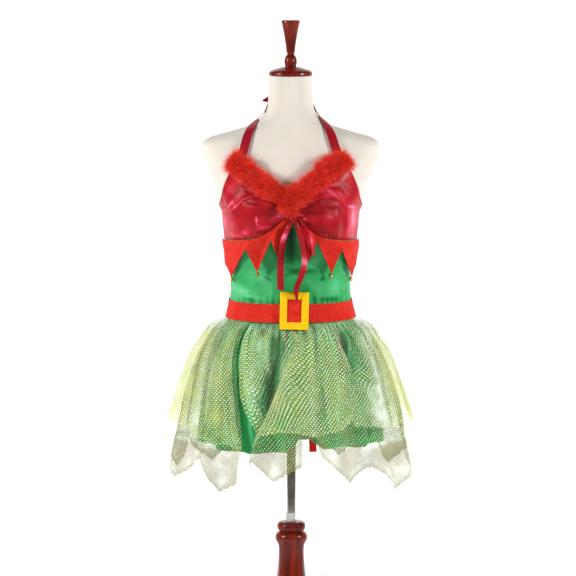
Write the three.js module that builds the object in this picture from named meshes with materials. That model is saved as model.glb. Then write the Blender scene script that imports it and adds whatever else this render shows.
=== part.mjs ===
// Elf costume on a limbless dress form with a wooden stand.
// Millimetres, +Z up, the front faces -Y and +X is on the viewer's right.
// The origin is on the floor, under the middle of the skirt.

import * as THREE from 'three';

// Driving dimensions

const TOP_HEIGHT = 1501; // floor to the top of the finial
const NECK_TOP = 1385; // floor to the cut of the neck
const FORM_BOTTOM = 676; // floor to the underside of the form
const COLUMN_TOP = 441; // floor to the top of the turned column
const STAND_X = 1.5; // the pole leans this far to the right of the form's middle

const POLE_RADIUS = 9.5;
const POLE_BOTTOM = 215;
const POLE_CLEARANCE = 0.3;
const COLLAR_WALL = 1.8;
const COLLAR_TOP = 460;

const SEAM = 0.3; // gap between pieces that are sewn together
const SATIN = 1.2;
const FELT = 2;
const NET = 1;
const RIBBON = 1;

const WAIST_Z = 877; // lower edge of the belt
const BELT_HEIGHT = 39;
const SKIRT_TOP_Z = 884; // the skirt is sewn on under the belt
const STRAP_WIDTH = 19;
const TIE_WIDTH = 12;
const BELL_RADIUS = 4.8;
const BELL_DROP = 0.8; // from a felt tip to the top of its bell
const BUCKLE = { width: 60, height: 78, bar: 15, thick: 3 };

// The middle of the tie's knot, on the bust.
const KNOT = { x: 6, y: -129, z: 1098 };

// Clearance of each layer's outer face from the form.
const LAYER = {
  bodice: 3.5,
  cup: 4.2,
  points: 7.9,
  underskirt: 2.9,
  netLower: 4.5,
  netUpper: 6.6,
  belt: 9.3,
};

// Materials

function material(colour, roughness, metalness = 0) {
  return new THREE.MeshStandardMaterial({ color: colour, roughness, metalness });
}

const SATIN_RED = material(0xb4202e, 0.35);
const RIBBON_RED = material(0xaa2030, 0.4);
const FELT_RED = material(0xe2352c, 0.95);
const MARABOU_RED = material(0xe8241e, 0.95);
const SATIN_GREEN = material(0x46b27a, 0.35);
const NET_GREEN = material(0xc9d98c, 0.5);
const FELT_YELLOW = material(0xf6c20e, 0.9);
const BELL_GOLD = material(0xd9a441, 0.25, 1);
const FORM_COVER = material(0xf1ece3, 0.85);
const WOOD = material(0x6e1a0e, 0.25);
const CHROME = material(0xc9c6c0, 0.15, 1);
const PLASTIC_WHITE = material(0xeef0f2, 0.45);

// Form of the body under the cloth: half sizes of its section at each height.

const BODY_ROWS = [
  { z: 676, side: 142, front: 92, back: 98 },
  { z: 684, side: 150, front: 100, back: 106 },
  { z: 720, side: 158, front: 108, back: 116 },
  { z: 770, side: 161, front: 112, back: 119 },
  { z: 820, side: 148, front: 108, back: 110 },
  { z: 877, side: 126.6, front: 97, back: 90 },
  { z: 917, side: 121, front: 91, back: 84 },
  { z: 971, side: 121.5, front: 93, back: 87 },
  { z: 1010, side: 127, front: 97, back: 92 },
  { z: 1042, side: 134, front: 102, back: 97 },
  { z: 1097, side: 139, front: 108, back: 103 },
  { z: 1127, side: 150, front: 109, back: 107 },
  { z: 1165, side: 160, front: 106, back: 109 },
  { z: 1185, side: 170, front: 102, back: 107 },
  { z: 1225, side: 184, front: 87, back: 97 },
  { z: 1242, side: 186, front: 79, back: 90 },
  { z: 1253, side: 175, front: 74, back: 85 },
  { z: 1266, side: 133, front: 69, back: 79 },
  { z: 1278, side: 93, front: 65, back: 73 },
  { z: 1290, side: 68, front: 61, back: 66 },
  { z: 1304, side: 54, front: 56, back: 59 },
  { z: 1322, side: 47.6, front: 50, back: 52 },
  { z: 1379, side: 45, front: 46, back: 47 },
  { z: 1385, side: 44.8, front: 45.5, back: 46.5 },
];
const SECTION_POWER = 0.87; // below 1 the sections are a little squarer than ellipses
const BUST = { x: 80, z: 1090, out: 34, wide: 42, tall: 44, fade: 1.6 };

// How far each skirt layer stands out from the waist, at each drop below it.

const UNDERSKIRT_ROWS = [
  { drop: 0, side: 0, front: 0, back: 0 },
  { drop: 13, side: 8, front: 1.5, back: 6 },
  { drop: 27, side: 20, front: 6, back: 15 },
  { drop: 44, side: 31, front: 14, back: 26 },
  { drop: 75, side: 42, front: 34, back: 46 },
  { drop: 121, side: 49, front: 56, back: 68 },
  { drop: 160, side: 54, front: 70, back: 82 },
  { drop: 221, side: 60, front: 84, back: 96 },
  { drop: 265, side: 66, front: 91, back: 103 },
];
const NET_LOWER_ROWS = [
  { drop: 0, side: 0, front: 0, back: 0 },
  { drop: 13, side: 17, front: 3.5, back: 12 },
  { drop: 27, side: 30, front: 10, back: 23 },
  { drop: 44, side: 41, front: 20, back: 35 },
  { drop: 75, side: 58, front: 42, back: 58 },
  { drop: 121, side: 76, front: 66, back: 82 },
  { drop: 160, side: 87, front: 82, back: 98 },
  { drop: 221, side: 99, front: 101, back: 116 },
  { drop: 303, side: 117, front: 120, back: 132 },
  { drop: 350, side: 124, front: 127, back: 137 },
];
const NET_UPPER_ROWS = [
  { drop: 0, side: 0, front: 0, back: 0 },
  { drop: 6, side: 14, front: 2, back: 9 },
  { drop: 13, side: 30, front: 6, back: 20 },
  { drop: 27, side: 43, front: 16, back: 33 },
  { drop: 44, side: 53, front: 30, back: 47 },
  { drop: 75, side: 73, front: 54, back: 73 },
  { drop: 121, side: 91, front: 84, back: 99 },
  { drop: 160, side: 103, front: 102, back: 115 },
  { drop: 206, side: 116, front: 117, back: 127 },
  { drop: 260, side: 122, front: 125, back: 133 },
];

// Folds of the skirt: the middle of each in degrees from the front (left is negative),
// its half width in degrees and how far it stands out (or in) at the hem.
const SKIRT_FOLDS = [
  { at: -78, half: 11, out: 9 },
  { at: -61, half: 10, out: -12 },
  { at: -44, half: 11, out: 11 },
  { at: -31, half: 8, out: -7 },
  { at: -22, half: 7, out: 7 },
  { at: -9, half: 10, out: -15 },
  { at: 7, half: 11, out: 12 },
  { at: 21, half: 10, out: 5 },
  { at: 34, half: 9, out: -13 },
  { at: 47, half: 11, out: 10 },
  { at: 62, half: 9, out: -8 },
  { at: 76, half: 10, out: 9 },
  { at: 92, half: 9, out: -6 },
  { at: 108, half: 11, out: 11 },
  { at: 124, half: 9, out: -10 },
  { at: 139, half: 11, out: 12 },
  { at: 156, half: 10, out: -12 },
  { at: 171, half: 9, out: 8 },
  { at: 186, half: 9, out: -10 },
  { at: 202, half: 11, out: 12 },
  { at: 219, half: 10, out: -12 },
  { at: 235, half: 10, out: 10 },
  { at: 250, half: 9, out: -9 },
  { at: 265, half: 9, out: 6 },
];
const FOLD_DROP = 240; // the folds are full at this drop
const FOLD_SPREAD = 1.15; // each fold runs a little way into the next
const GATHERS = 30; // small gathers all round under the belt
const GATHER_OUT = 3;
const GATHER_DROP = 70;

// Hems: the height of the edge at each angle from the front.
const UNDERSKIRT_HEM = [
  { at: -180, z: 622 },
  { at: -90, z: 624 },
  { at: -25, z: 615 },
  { at: -2, z: 618 },
  { at: 4, z: 648 },
  { at: 10, z: 648 },
  { at: 18, z: 626 },
  { at: 60, z: 622 },
  { at: 180, z: 622 },
];
const NET_LOWER_HEM = [
  { at: -180, z: 600 },
  { at: -170, z: 545 },
  { at: -154, z: 600 },
  { at: -137, z: 542 },
  { at: -120, z: 598 },
  { at: -104, z: 550 },
  { at: -88, z: 596 },
  { at: -70, z: 550 },
  { at: -46, z: 602 },
  { at: -33, z: 538 },
  { at: -21, z: 560 },
  { at: -20, z: 606 },
  { at: -9, z: 560 },
  { at: 3, z: 597 },
  { at: 4, z: 652 },
  { at: 10, z: 652 },
  { at: 12, z: 616 },
  { at: 27, z: 557 },
  { at: 40, z: 588 },
  { at: 60, z: 529 },
  { at: 86, z: 572 },
  { at: 104, z: 600 },
  { at: 122, z: 545 },
  { at: 140, z: 598 },
  { at: 156, z: 548 },
  { at: 172, z: 602 },
  { at: 180, z: 600 },
];
const NET_UPPER_HEM = [
  { at: -180, z: 640 },
  { at: -160, z: 672 },
  { at: -138, z: 640 },
  { at: -116, z: 674 },
  { at: -92, z: 662 },
  { at: -80, z: 672 },
  { at: -50, z: 652 },
  { at: -23, z: 630 },
  { at: -21, z: 626 },
  { at: -14, z: 649 },
  { at: -7, z: 662 },
  { at: 1, z: 668 },
  { at: 10, z: 659 },
  { at: 24, z: 671 },
  { at: 29, z: 686 },
  { at: 32, z: 672 },
  { at: 60, z: 664 },
  { at: 88, z: 668 },
  { at: 112, z: 676 },
  { at: 136, z: 640 },
  { at: 158, z: 674 },
  { at: 180, z: 640 },
];
// The nets are open along a slit left of the front: its angle at the waist and at the hem.
const SLIT = { top: -34, bottom: -21.5, gapTop: 0.6, gapBottom: 3, drop: 250, margin: 1.2 };

// The neckline of the cups, from the left strap through the middle to the right strap.
const NECKLINE = [
  { x: -113, z: 1211 },
  { x: -94, z: 1196 },
  { x: -68, z: 1175 },
  { x: -41, z: 1155 },
  { x: -16, z: 1137 },
  { x: -1, z: 1130 },
  { x: 12, z: 1141 },
  { x: 34, z: 1156 },
  { x: 58, z: 1180 },
  { x: 83, z: 1201 },
  { x: 111, z: 1213 },
];
const CENTRE_X = -1; // the lowest point of the neckline

// The seam under the cups, from the knot out to the side.
const UNDERBUST = [
  { x: 0, z: 1098 },
  { x: 14, z: 1096 },
  { x: 32, z: 1084 },
  { x: 48, z: 1072 },
  { x: 73, z: 1060 },
  { x: 102, z: 1053 },
  { x: 136, z: 1045 },
];
const ARMHOLE_SIDE_Z = 1099; // top of the side seam
// The armhole edge of a cup, from the strap down to the side seam.
const ARMHOLE = [
  { x: 112, z: 1212 },
  { x: 123, z: 1192 },
  { x: 132, z: 1170 },
  { x: 138, z: 1148 },
  { x: 141, z: 1124 },
  { x: 141, z: 1099 },
];
const BACK_TOP_Z = 1074; // top edge at the middle of the back
const BACK_DIP = 0.7; // how quickly that edge drops from the side seams

// Lower edge of the felt points, from the inner edge out to the side seam.
const POINTS_LEFT = [
  { x: -18, z: 1001, tip: true },
  { x: -45, z: 1062 },
  { x: -63, z: 988, tip: true },
  { x: -86, z: 1043 },
  { x: -112, z: 969, tip: true },
  { x: -123, z: 996 },
];
const POINTS_RIGHT = [
  { x: 30, z: 1001, tip: true },
  { x: 57, z: 1062 },
  { x: 76, z: 984, tip: true },
  { x: 97, z: 1041 },
  { x: 114, z: 969, tip: true },
  { x: 123, z: 996 },
];
const POINTS_INNER_X = { left: -5, right: 14 }; // where each starts on the seam under the cups
const POINTS_STAND_OFF = 7; // the tips stand this far off the bodice
const POINTS_HUG = 0.55; // at the sides they stand off by this much less
const POINTS_TUCK = 0.15; // they lie closer along the seam
const POINTS_TURN = 0.94; // past this part of the lower edge it turns to the side seam

// Number helpers

const radians = THREE.MathUtils.degToRad;

function range(count) {
  return Array.from({ length: count }, (_, index) => index);
}

function smooth(value) {
  return THREE.MathUtils.smoothstep(value, 0, 1);
}

// A smooth curve through one column of a table that never overshoots its rows.
function smoothColumn(rows, key, name) {
  const at = rows.map((row) => row[key]);
  const to = rows.map((row) => row[name]);
  const rise = range(at.length - 1).map((i) => (to[i + 1] - to[i]) / (at[i + 1] - at[i]));
  const slope = at.map((_, i) => {
    if (i === 0) return rise[0];
    if (i === rise.length) return rise[i - 1];
    const product = rise[i - 1] * rise[i];
    return product > 0 ? (2 * product) / (rise[i - 1] + rise[i]) : 0;
  });
  return (value) => {
    const v = THREE.MathUtils.clamp(value, at[0], at[at.length - 1]);
    let i = 0;
    while (i < rise.length - 1 && v > at[i + 1]) i += 1;
    const step = at[i + 1] - at[i];
    const t = (v - at[i]) / step;
    const a = (1 + 2 * t) * (1 - t) ** 2 * to[i] + t ** 2 * (3 - 2 * t) * to[i + 1];
    return a + step * (t * (1 - t) ** 2 * slope[i] - t ** 2 * (1 - t) * slope[i + 1]);
  };
}

// Straight lines through one column of a table.
function straightColumn(rows, key, name) {
  return (value) => {
    let i = 0;
    while (i < rows.length - 2 && value > rows[i + 1][key]) i += 1;
    const t = (value - rows[i][key]) / (rows[i + 1][key] - rows[i][key]);
    return THREE.MathUtils.lerp(rows[i][name], rows[i + 1][name], THREE.MathUtils.clamp(t, 0, 1));
  };
}

// Places between the rows of a table, so that each row is one of them.
function placesThrough(rows, key, step) {
  const places = [rows[0][key]];
  for (let i = 0; i + 1 < rows.length; i += 1) {
    const from = rows[i][key];
    const to = rows[i + 1][key];
    const count = Math.max(1, Math.round(Math.abs(to - from) / step));
    for (let k = 1; k <= count; k += 1) {
      places.push(THREE.MathUtils.lerp(from, to, k / count));
    }
  }
  return places;
}

// Solid helpers

// A geometry from points and faces, turned inside out if its volume is negative.
function solid(points, faces) {
  const position = points.flatMap((p) => [p.x, p.y, p.z]);
  const geometry = new THREE.BufferGeometry();
  geometry.setAttribute('position', new THREE.Float32BufferAttribute(position, 3));
  geometry.setIndex(faces);
  return facingOut(geometry);
}

function facingOut(geometry) {
  const place = geometry.getAttribute('position');
  const index = geometry.getIndex() ? Array.from(geometry.getIndex().array) : range(place.count);
  const [a, b, c] = range(3).map(() => new THREE.Vector3());
  let volume = 0;
  for (let i = 0; i < index.length; i += 3) {
    [a, b, c].forEach((corner, k) => corner.fromBufferAttribute(place, index[i + k]));
    volume += a.dot(b.cross(c));
  }
  if (volume < 0) {
    for (let i = 0; i < index.length; i += 3) {
      [index[i], index[i + 1]] = [index[i + 1], index[i]];
    }
  }
  geometry.setIndex(index);
  geometry.computeVertexNormals();
  return geometry;
}

// A closed wall between two grids of points, grid[column][row].
// When it goes all round, its last column meets its first.
function wallBetween(outer, inner, allRound) {
  const columns = outer.length;
  const rows = outer[0].length;
  const points = [...outer.flat(), ...inner.flat()];
  const id = (layer, column, row) => (layer * columns + (column % columns)) * rows + row;
  const faces = [];
  const quad = (a, b, c, d) => faces.push(a, b, c, a, c, d);
  const spans = allRound ? columns : columns - 1;
  for (let i = 0; i < spans; i += 1) {
    for (let j = 0; j < rows - 1; j += 1) {
      quad(id(0, i, j), id(0, i, j + 1), id(0, i + 1, j + 1), id(0, i + 1, j));
      quad(id(1, i, j), id(1, i + 1, j), id(1, i + 1, j + 1), id(1, i, j + 1));
    }
    quad(id(0, i, 0), id(0, i + 1, 0), id(1, i + 1, 0), id(1, i, 0));
    quad(id(0, i, rows - 1), id(1, i, rows - 1), id(1, i + 1, rows - 1), id(0, i + 1, rows - 1));
  }
  if (!allRound) {
    const last = columns - 1;
    for (let j = 0; j < rows - 1; j += 1) {
      quad(id(0, 0, j), id(1, 0, j), id(1, 0, j + 1), id(0, 0, j + 1));
      quad(id(0, last, j), id(0, last, j + 1), id(1, last, j + 1), id(1, last, j));
    }
  }
  return solid(points, faces);
}

// A closed tube through rings of points, with a point in the middle of each end.
function tubeThrough(rings) {
  const count = rings[0].length;
  const middle = (ring) => {
    const sum = ring.reduce((total, p) => total.add(p), new THREE.Vector3());
    return sum.divideScalar(count);
  };
  const points = [...rings.flat(), middle(rings[0]), middle(rings[rings.length - 1])];
  const id = (ring, k) => ring * count + (k % count);
  const first = rings.length * count;
  const faces = [];
  for (let k = 0; k < count; k += 1) {
    for (let i = 0; i < rings.length - 1; i += 1) {
      faces.push(id(i, k), id(i, k + 1), id(i + 1, k + 1), id(i, k), id(i + 1, k + 1), id(i + 1, k));
    }
    faces.push(first, id(0, k + 1), id(0, k));
    faces.push(first + 1, id(rings.length - 1, k), id(rings.length - 1, k + 1));
  }
  return solid(points, faces);
}

// A turned piece from rows of radius and height.
function turned(rows, segments) {
  const profile = rows.map(([radius, z]) => new THREE.Vector2(radius, z));
  const geometry = new THREE.LatheGeometry(profile, segments);
  geometry.rotateX(Math.PI / 2);
  return facingOut(geometry);
}

// Body surface

const bodySide = smoothColumn(BODY_ROWS, 'z', 'side');
const bodyFront = smoothColumn(BODY_ROWS, 'z', 'front');
const bodyBack = smoothColumn(BODY_ROWS, 'z', 'back');

function bump(distance, width) {
  return Math.exp(-(distance ** 2) / (2 * width ** 2));
}

// The form's surface. The angle is 0 at +X, and the front is at -90 degrees.
function bodyPoint(angle, z) {
  const across = Math.cos(angle);
  const deep = Math.sin(angle);
  const x = bodySide(z) * Math.sign(across) * Math.abs(across) ** SECTION_POWER;
  const depth = deep < 0 ? bodyFront(z) : bodyBack(z);
  let y = depth * Math.sign(deep) * Math.abs(deep) ** SECTION_POWER;
  if (deep < 0) {
    const bust = BUST.out * bump(Math.abs(x) - BUST.x, BUST.wide) * bump(z - BUST.z, BUST.tall);
    y -= bust * smooth(-deep * BUST.fade);
  }
  return new THREE.Vector3(x, y, z);
}

// The angle of the point of the front, or back, that lies at x.
function angleAt(x, z, back = false) {
  const share = Math.min(1, Math.abs(x) / bodySide(z)) ** (1 / SECTION_POWER);
  const angle = Math.acos(Math.sign(x) * share);
  return back ? angle : -angle;
}

// The outward normal of a surface given by a function of two numbers.
function normalOf(surface, u, v, stepU, stepV) {
  const alongU = surface(u + stepU, v).sub(surface(u - stepU, v));
  const alongV = surface(u, v + stepV).sub(surface(u, v - stepV));
  return alongU.cross(alongV).normalize();
}

const ANGLE_STEP = 0.02;
const HEIGHT_STEP = 1;

// A point on cloth that lies this far off the form.
function clothPoint(angle, z, off) {
  const normal = normalOf(bodyPoint, angle, z, ANGLE_STEP, HEIGHT_STEP);
  return bodyPoint(angle, z).addScaledVector(normal, off);
}

// A wall of cloth on the form. place(u, v) gives angle, z and the outer face's distance.
function clothWall(us, vs, thick, place) {
  const grid = (inward) =>
    us.map((u) =>
      vs.map((v) => {
        const { angle, z, off } = place(u, v);
        return clothPoint(angle, z, off - inward);
      }),
    );
  return wallBetween(grid(0), grid(thick), false);
}

function evenly(count) {
  return range(count + 1).map((index) => index / count);
}

// Form

const TORSO_SIDES = 32;
const TORSO_STEP = 60;
const BUST_STEP = 17;
const BUST_RINGS = 8;
const RING_APART = 4; // rings of the table closer than this to the bust's are left out

function formTorso() {
  const bustLow = BUST.z - (BUST_STEP * (BUST_RINGS - 1)) / 2;
  const bustHeights = range(BUST_RINGS).map((k) => bustLow + k * BUST_STEP);
  const nearBust = (z) => z > bustLow - RING_APART && z < bustHeights[BUST_RINGS - 1] + RING_APART;
  const heights = placesThrough(BODY_ROWS, 'z', TORSO_STEP).filter((z) => !nearBust(z));
  const rings = [...heights, ...bustHeights]
    .sort((a, b) => a - b)
    .map((z) => range(TORSO_SIDES).map((k) => bodyPoint((k / TORSO_SIDES) * 2 * Math.PI, z)));
  return tubeThrough(rings);
}

const NECK_CAP_ROWS = [
  [0, NECK_TOP + SEAM],
  [44.5, NECK_TOP + SEAM],
  [45.6, NECK_TOP + 2],
  [45.6, NECK_TOP + 5.5],
  [43, NECK_TOP + 9],
  [34, NECK_TOP + 13],
  [22, NECK_TOP + 16.5],
  [14, NECK_TOP + 18],
  [0, NECK_TOP + 18],
];
const FINIAL_BOTTOM = NECK_TOP + 18 + SEAM;
const FINIAL_ROWS = [
  [0, FINIAL_BOTTOM],
  [11.5, FINIAL_BOTTOM],
  [11.8, FINIAL_BOTTOM + 2],
  [13, FINIAL_BOTTOM + 6],
  [13.3, FINIAL_BOTTOM + 12],
  [12, FINIAL_BOTTOM + 18],
  [9.5, FINIAL_BOTTOM + 23],
  [7.4, FINIAL_BOTTOM + 25.5],
  [7.8, FINIAL_BOTTOM + 28],
  [8.9, FINIAL_BOTTOM + 31],
  [10.2, FINIAL_BOTTOM + 42],
  [13.2, FINIAL_BOTTOM + 62],
  [17.4, FINIAL_BOTTOM + 84],
  [19.4, TOP_HEIGHT - 4],
  [18.6, TOP_HEIGHT - 1.4],
  [12, TOP_HEIGHT - 0.2],
  [0, TOP_HEIGHT],
];

// Stand

const COLUMN_BOTTOM = 62;
const COLUMN_ROWS = [
  [24, COLUMN_TOP - 0.5],
  [28, COLUMN_TOP - 3],
  [30.2, COLUMN_TOP - 9],
  [29, COLUMN_TOP - 16],
  [25.2, COLUMN_TOP - 20.5],
  [30, COLUMN_TOP - 24],
  [34, COLUMN_TOP - 33],
  [33.6, COLUMN_TOP - 38],
  [29.5, COLUMN_TOP - 45],
  [27, COLUMN_TOP - 52],
  [26.4, COLUMN_TOP - 62],
  [27.2, COLUMN_TOP - 84],
  [30, COLUMN_TOP - 116],
  [33.5, COLUMN_TOP - 160],
  [34, COLUMN_TOP - 195],
  [29, COLUMN_TOP - 240],
  [24, COLUMN_TOP - 266],
  [24, COLUMN_TOP - 276],
  [32, COLUMN_TOP - 286],
  [34, COLUMN_TOP - 292],
  [34, COLUMN_BOTTOM + 6],
  [30, COLUMN_BOTTOM],
];
const HUB_RADIUS = 34;
const ROUND_SIDES = 20;

function standColumn() {
  const bore = POLE_RADIUS + POLE_CLEARANCE;
  const profile = [[bore, COLUMN_BOTTOM], [bore, COLUMN_TOP], ...COLUMN_ROWS, [bore, COLUMN_BOTTOM]];
  return turned(profile, ROUND_SIDES);
}

function pole() {
  const top = FORM_BOTTOM - SEAM;
  const rows = [
    [0, POLE_BOTTOM],
    [POLE_RADIUS, POLE_BOTTOM],
    [POLE_RADIUS, top],
    [0, top],
  ];
  return turned(rows, ROUND_SIDES);
}

const COLLAR_FROM = 115; // degrees from +X
const COLLAR_TO = 318;

// A white plastic guide that stands on the column in front of the pole, open at the back right.
function poleCollar() {
  const inside = POLE_RADIUS + POLE_CLEARANCE;
  const angles = evenly(14).map((t) => radians(THREE.MathUtils.lerp(COLLAR_FROM, COLLAR_TO, t)));
  const grid = (radius) =>
    angles.map((angle) =>
      [COLLAR_TOP, COLUMN_TOP + SEAM].map(
        (z) => new THREE.Vector3(radius * Math.cos(angle), radius * Math.sin(angle), z),
      ),
    );
  return wallBetween(grid(inside + COLLAR_WALL), grid(inside), false);
}

const LEG = { reach: 230, thick: 26, foot: 36 };

// One leg of the tripod: its side outline, extruded across its thickness.
function standLeg(angle) {
  const inner = HUB_RADIUS + SEAM;
  const outline = new THREE.Shape();
  outline.moveTo(inner, 88);
  outline.lineTo(inner, 146);
  outline.splineThru([
    new THREE.Vector2(76, 132),
    new THREE.Vector2(126, 92),
    new THREE.Vector2(172, 44),
    new THREE.Vector2(204, 25),
    new THREE.Vector2(LEG.reach - 4, 20),
  ]);
  outline.lineTo(LEG.reach, 14);
  outline.lineTo(LEG.reach - 2, 0);
  outline.lineTo(LEG.reach - 2 - LEG.foot, 0);
  outline.splineThru([
    new THREE.Vector2(166, 18),
    new THREE.Vector2(120, 60),
    new THREE.Vector2(76, 84),
    new THREE.Vector2(inner, 88),
  ]);
  const geometry = new THREE.ExtrudeGeometry(outline, {
    depth: LEG.thick,
    bevelEnabled: false,
    curveSegments: 3,
  });
  geometry.translate(0, 0, -LEG.thick / 2);
  geometry.rotateX(Math.PI / 2);
  geometry.rotateZ(angle);
  return facingOut(geometry);
}

// Bodice

const SIDE_GAP = 0.0006; // radians, about 0.3 mm at the side seams
const underbustRight = smoothColumn(UNDERBUST, 'x', 'z');
const underbust = (x) => underbustRight(Math.abs(x - CENTRE_X));
const UNDERBUST_LEVEL = 1060; // about the height of the seam on the front
const seamX = (angle) => bodyPoint(angle, UNDERBUST_LEVEL).x;
const SEAM_REACH = 118; // how far across the front the seam is measured before it turns the side
const SEAM_TURN = 0.75;

// A place on the seam under the cups: u runs from startX out to the side seam.
function seamPlace(u, startX, side) {
  const sideAngle = side < 0 ? -Math.PI + SIDE_GAP : -SIDE_GAP;
  const front = angleAt(startX + side * u * SEAM_REACH, UNDERBUST_LEVEL);
  const turn = smooth((u - SEAM_TURN) / (1 - SEAM_TURN));
  const angle = THREE.MathUtils.lerp(front, sideAngle, turn);
  return { angle, z: underbust(seamX(angle)) };
}

const BODICE_BOTTOM_Z = SKIRT_TOP_Z + SEAM;

const BODICE_PLACES = [0, 0.09, 0.18, 0.28, 0.45, 0.66, 0.84, 1]; // shares from the top edge down

// A wall from the given top edge down to the bodice's lower edge, between two angles.
function bodiceWall(from, to, topAt) {
  return clothWall(evenly(TORSO_SIDES / 2), BODICE_PLACES, SATIN, (u, v) => {
    const angle = THREE.MathUtils.lerp(from, to, u);
    const z = THREE.MathUtils.lerp(topAt(angle), BODICE_BOTTOM_Z, v);
    return { angle, z, off: LAYER.bodice };
  });
}

function bodiceFront() {
  return bodiceWall(-Math.PI + SIDE_GAP, -SIDE_GAP, (angle) => {
    return underbust(seamX(angle)) - SEAM;
  });
}

function bodiceBack() {
  return bodiceWall(SIDE_GAP, Math.PI - SIDE_GAP, (angle) => {
    return THREE.MathUtils.lerp(ARMHOLE_SIDE_Z, BACK_TOP_Z, Math.sin(angle) ** BACK_DIP);
  });
}

// Cups

const necklineZ = smoothColumn(NECKLINE, 'x', 'z');
const armholeRows = ARMHOLE.map((row, i) => ({ ...row, t: i / (ARMHOLE.length - 1) }));
const armholeX = smoothColumn(armholeRows, 't', 'x');
const armholeZ = smoothColumn(armholeRows, 't', 'z');
const CUP_COLUMNS = 16;
const CUP_ROWS = 9;
const NECKLINE_SHARE = 0.72; // the part of the top edge that is the neckline, before the armhole
const ARMHOLE_TURN = 0.7; // past this part of the armhole the edge turns to the side seam
const CUP_FULL = 7;
const CUP_FOLDS = { out: 4.5, rate: 15.5, lean: 2.2, start: 0.14, end: 0.75 };
const CUP_HEM_UP = 0.4;
const CUPS_APART = 0.5; // half of the gap between them at the middle
const CENTRE_LIFT = 3; // the cups and their trim span the hollow between the breasts

// A cup, gathered into the knot. u runs from the knot to the side, v from the neckline down.
function cup(side) {
  const strapX = side < 0 ? NECKLINE[0].x : NECKLINE[NECKLINE.length - 1].x;
  const sideAngle = side < 0 ? -Math.PI + SIDE_GAP : -SIDE_GAP;
  const startX = CENTRE_X + side * CUPS_APART;
  const top = (u) => {
    if (u <= NECKLINE_SHARE) {
      const x = THREE.MathUtils.lerp(startX, strapX, u / NECKLINE_SHARE);
      const z = necklineZ(x);
      return { angle: angleAt(x, z), z };
    }
    const t = (u - NECKLINE_SHARE) / (1 - NECKLINE_SHARE);
    const z = armholeZ(t);
    const front = angleAt(side * armholeX(t), z);
    const turn = smooth((t - ARMHOLE_TURN) / (1 - ARMHOLE_TURN));
    return { angle: THREE.MathUtils.lerp(front, sideAngle, turn), z };
  };
  const bottom = (u) => {
    const { angle, z } = seamPlace(u, startX, side);
    return { angle, z: z + CUP_HEM_UP };
  };
  return clothWall(evenly(CUP_COLUMNS), evenly(CUP_ROWS), SATIN, (u, v) => {
    const a = top(u);
    const b = bottom(u);
    const down = Math.sin(Math.PI * v);
    const full = CUP_FULL * down ** 0.8 * Math.sin(Math.PI * Math.min(1, u * 1.05));
    const gather = smooth(u / CUP_FOLDS.start) * smooth((1 - u) / CUP_FOLDS.end) * down;
    const wave = (1 + Math.sin(v * CUP_FOLDS.rate + u * CUP_FOLDS.lean * side)) / 2;
    const lift = CENTRE_LIFT * (1 - smooth(u / 0.2));
    return {
      angle: THREE.MathUtils.lerp(a.angle, b.angle, v),
      z: THREE.MathUtils.lerp(a.z, b.z, v),
      off: LAYER.cup + lift + full + CUP_FOLDS.out * gather * wave,
    };
  });
}

// Marabou

const MARABOU = {
  arm: 17, // half of the band's width on the arms
  middle: 22, // half of its width at the middle
  thick: 15,
  base: 1.5, // stands this far off the cup
  clear: 8.8, // and this much more below the neckline, over the full part of the cup
  beyond: 8, // runs this far past the end of the neckline
  slant: 0.42, // how far its edges lean out with the slope of the neckline
};
const MARABOU_LUMPS = [
  { rate: 23, size: 0.14 },
  { rate: 51, size: 0.08 },
];

// A lumpy band of trim along one arm of the neckline.
function marabou(side) {
  const endX = side * (MARABOU.beyond + Math.abs(NECKLINE[side < 0 ? 0 : NECKLINE.length - 1].x));
  const startX = CENTRE_X + side * 0.2;
  const grid = (raised) =>
    evenly(12).map((u) => {
      const x = THREE.MathUtils.lerp(startX, endX, u);
      const half = THREE.MathUtils.lerp(MARABOU.middle, MARABOU.arm, smooth(u / 0.3));
      const ends = smooth((1.04 - u) / 0.12);
      const lump = MARABOU_LUMPS.reduce((sum, { rate, size }) => sum + size * Math.sin(u * rate + side), 1);
      return evenly(6).map((v) => {
        const w = 1 - 2 * v;
        const px = x - side * w * half * MARABOU.slant * smooth(u / 0.25);
        const pz = necklineZ(x) + w * half * 0.92 * lump * Math.max(ends, 0.5);
        const lift = CENTRE_LIFT * (1 - smooth(u / 0.35));
        const below = Math.max(0, -w) * MARABOU.clear * smooth(u / 0.2 + 0.4);
        const round = Math.sqrt(Math.max(0.05, 1 - w * w)) * Math.max(ends, 0.3);
        const crown = raised ? MARABOU.thick * lump * round : 0;
        const off = LAYER.cup + MARABOU.base + lift + below + crown;
        return clothPoint(angleAt(px, pz), pz, off);
      });
    });
  return wallBetween(grid(true), grid(false), false);
}

// Ribbons

// A flat ribbon along points; across(i) gives the direction of its width.
function ribbon(path, across, width, thick) {
  const last = path.length - 1;
  const frames = path.map((middle, i) => {
    const along = path[Math.min(i + 1, last)].clone().sub(path[Math.max(i - 1, 0)]).normalize();
    const wide = across(i).clone();
    wide.addScaledVector(along, -wide.dot(along)).normalize();
    const normal = along.clone().cross(wide).normalize();
    return { middle, wide, normal, half: width(i / last) / 2 };
  });
  const grid = (lift) =>
    [1, -1].map((edge) =>
      frames.map(({ middle, wide, normal, half }) =>
        middle.clone().addScaledVector(wide, edge * half).addScaledVector(normal, lift),
      ),
    );
  return wallBetween(grid(thick / 2), grid(-thick / 2), false);
}

function smoothPath(points, count) {
  const curve = new THREE.CatmullRomCurve3(points, false, 'centripetal');
  return curve.getPoints(count);
}

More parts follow.
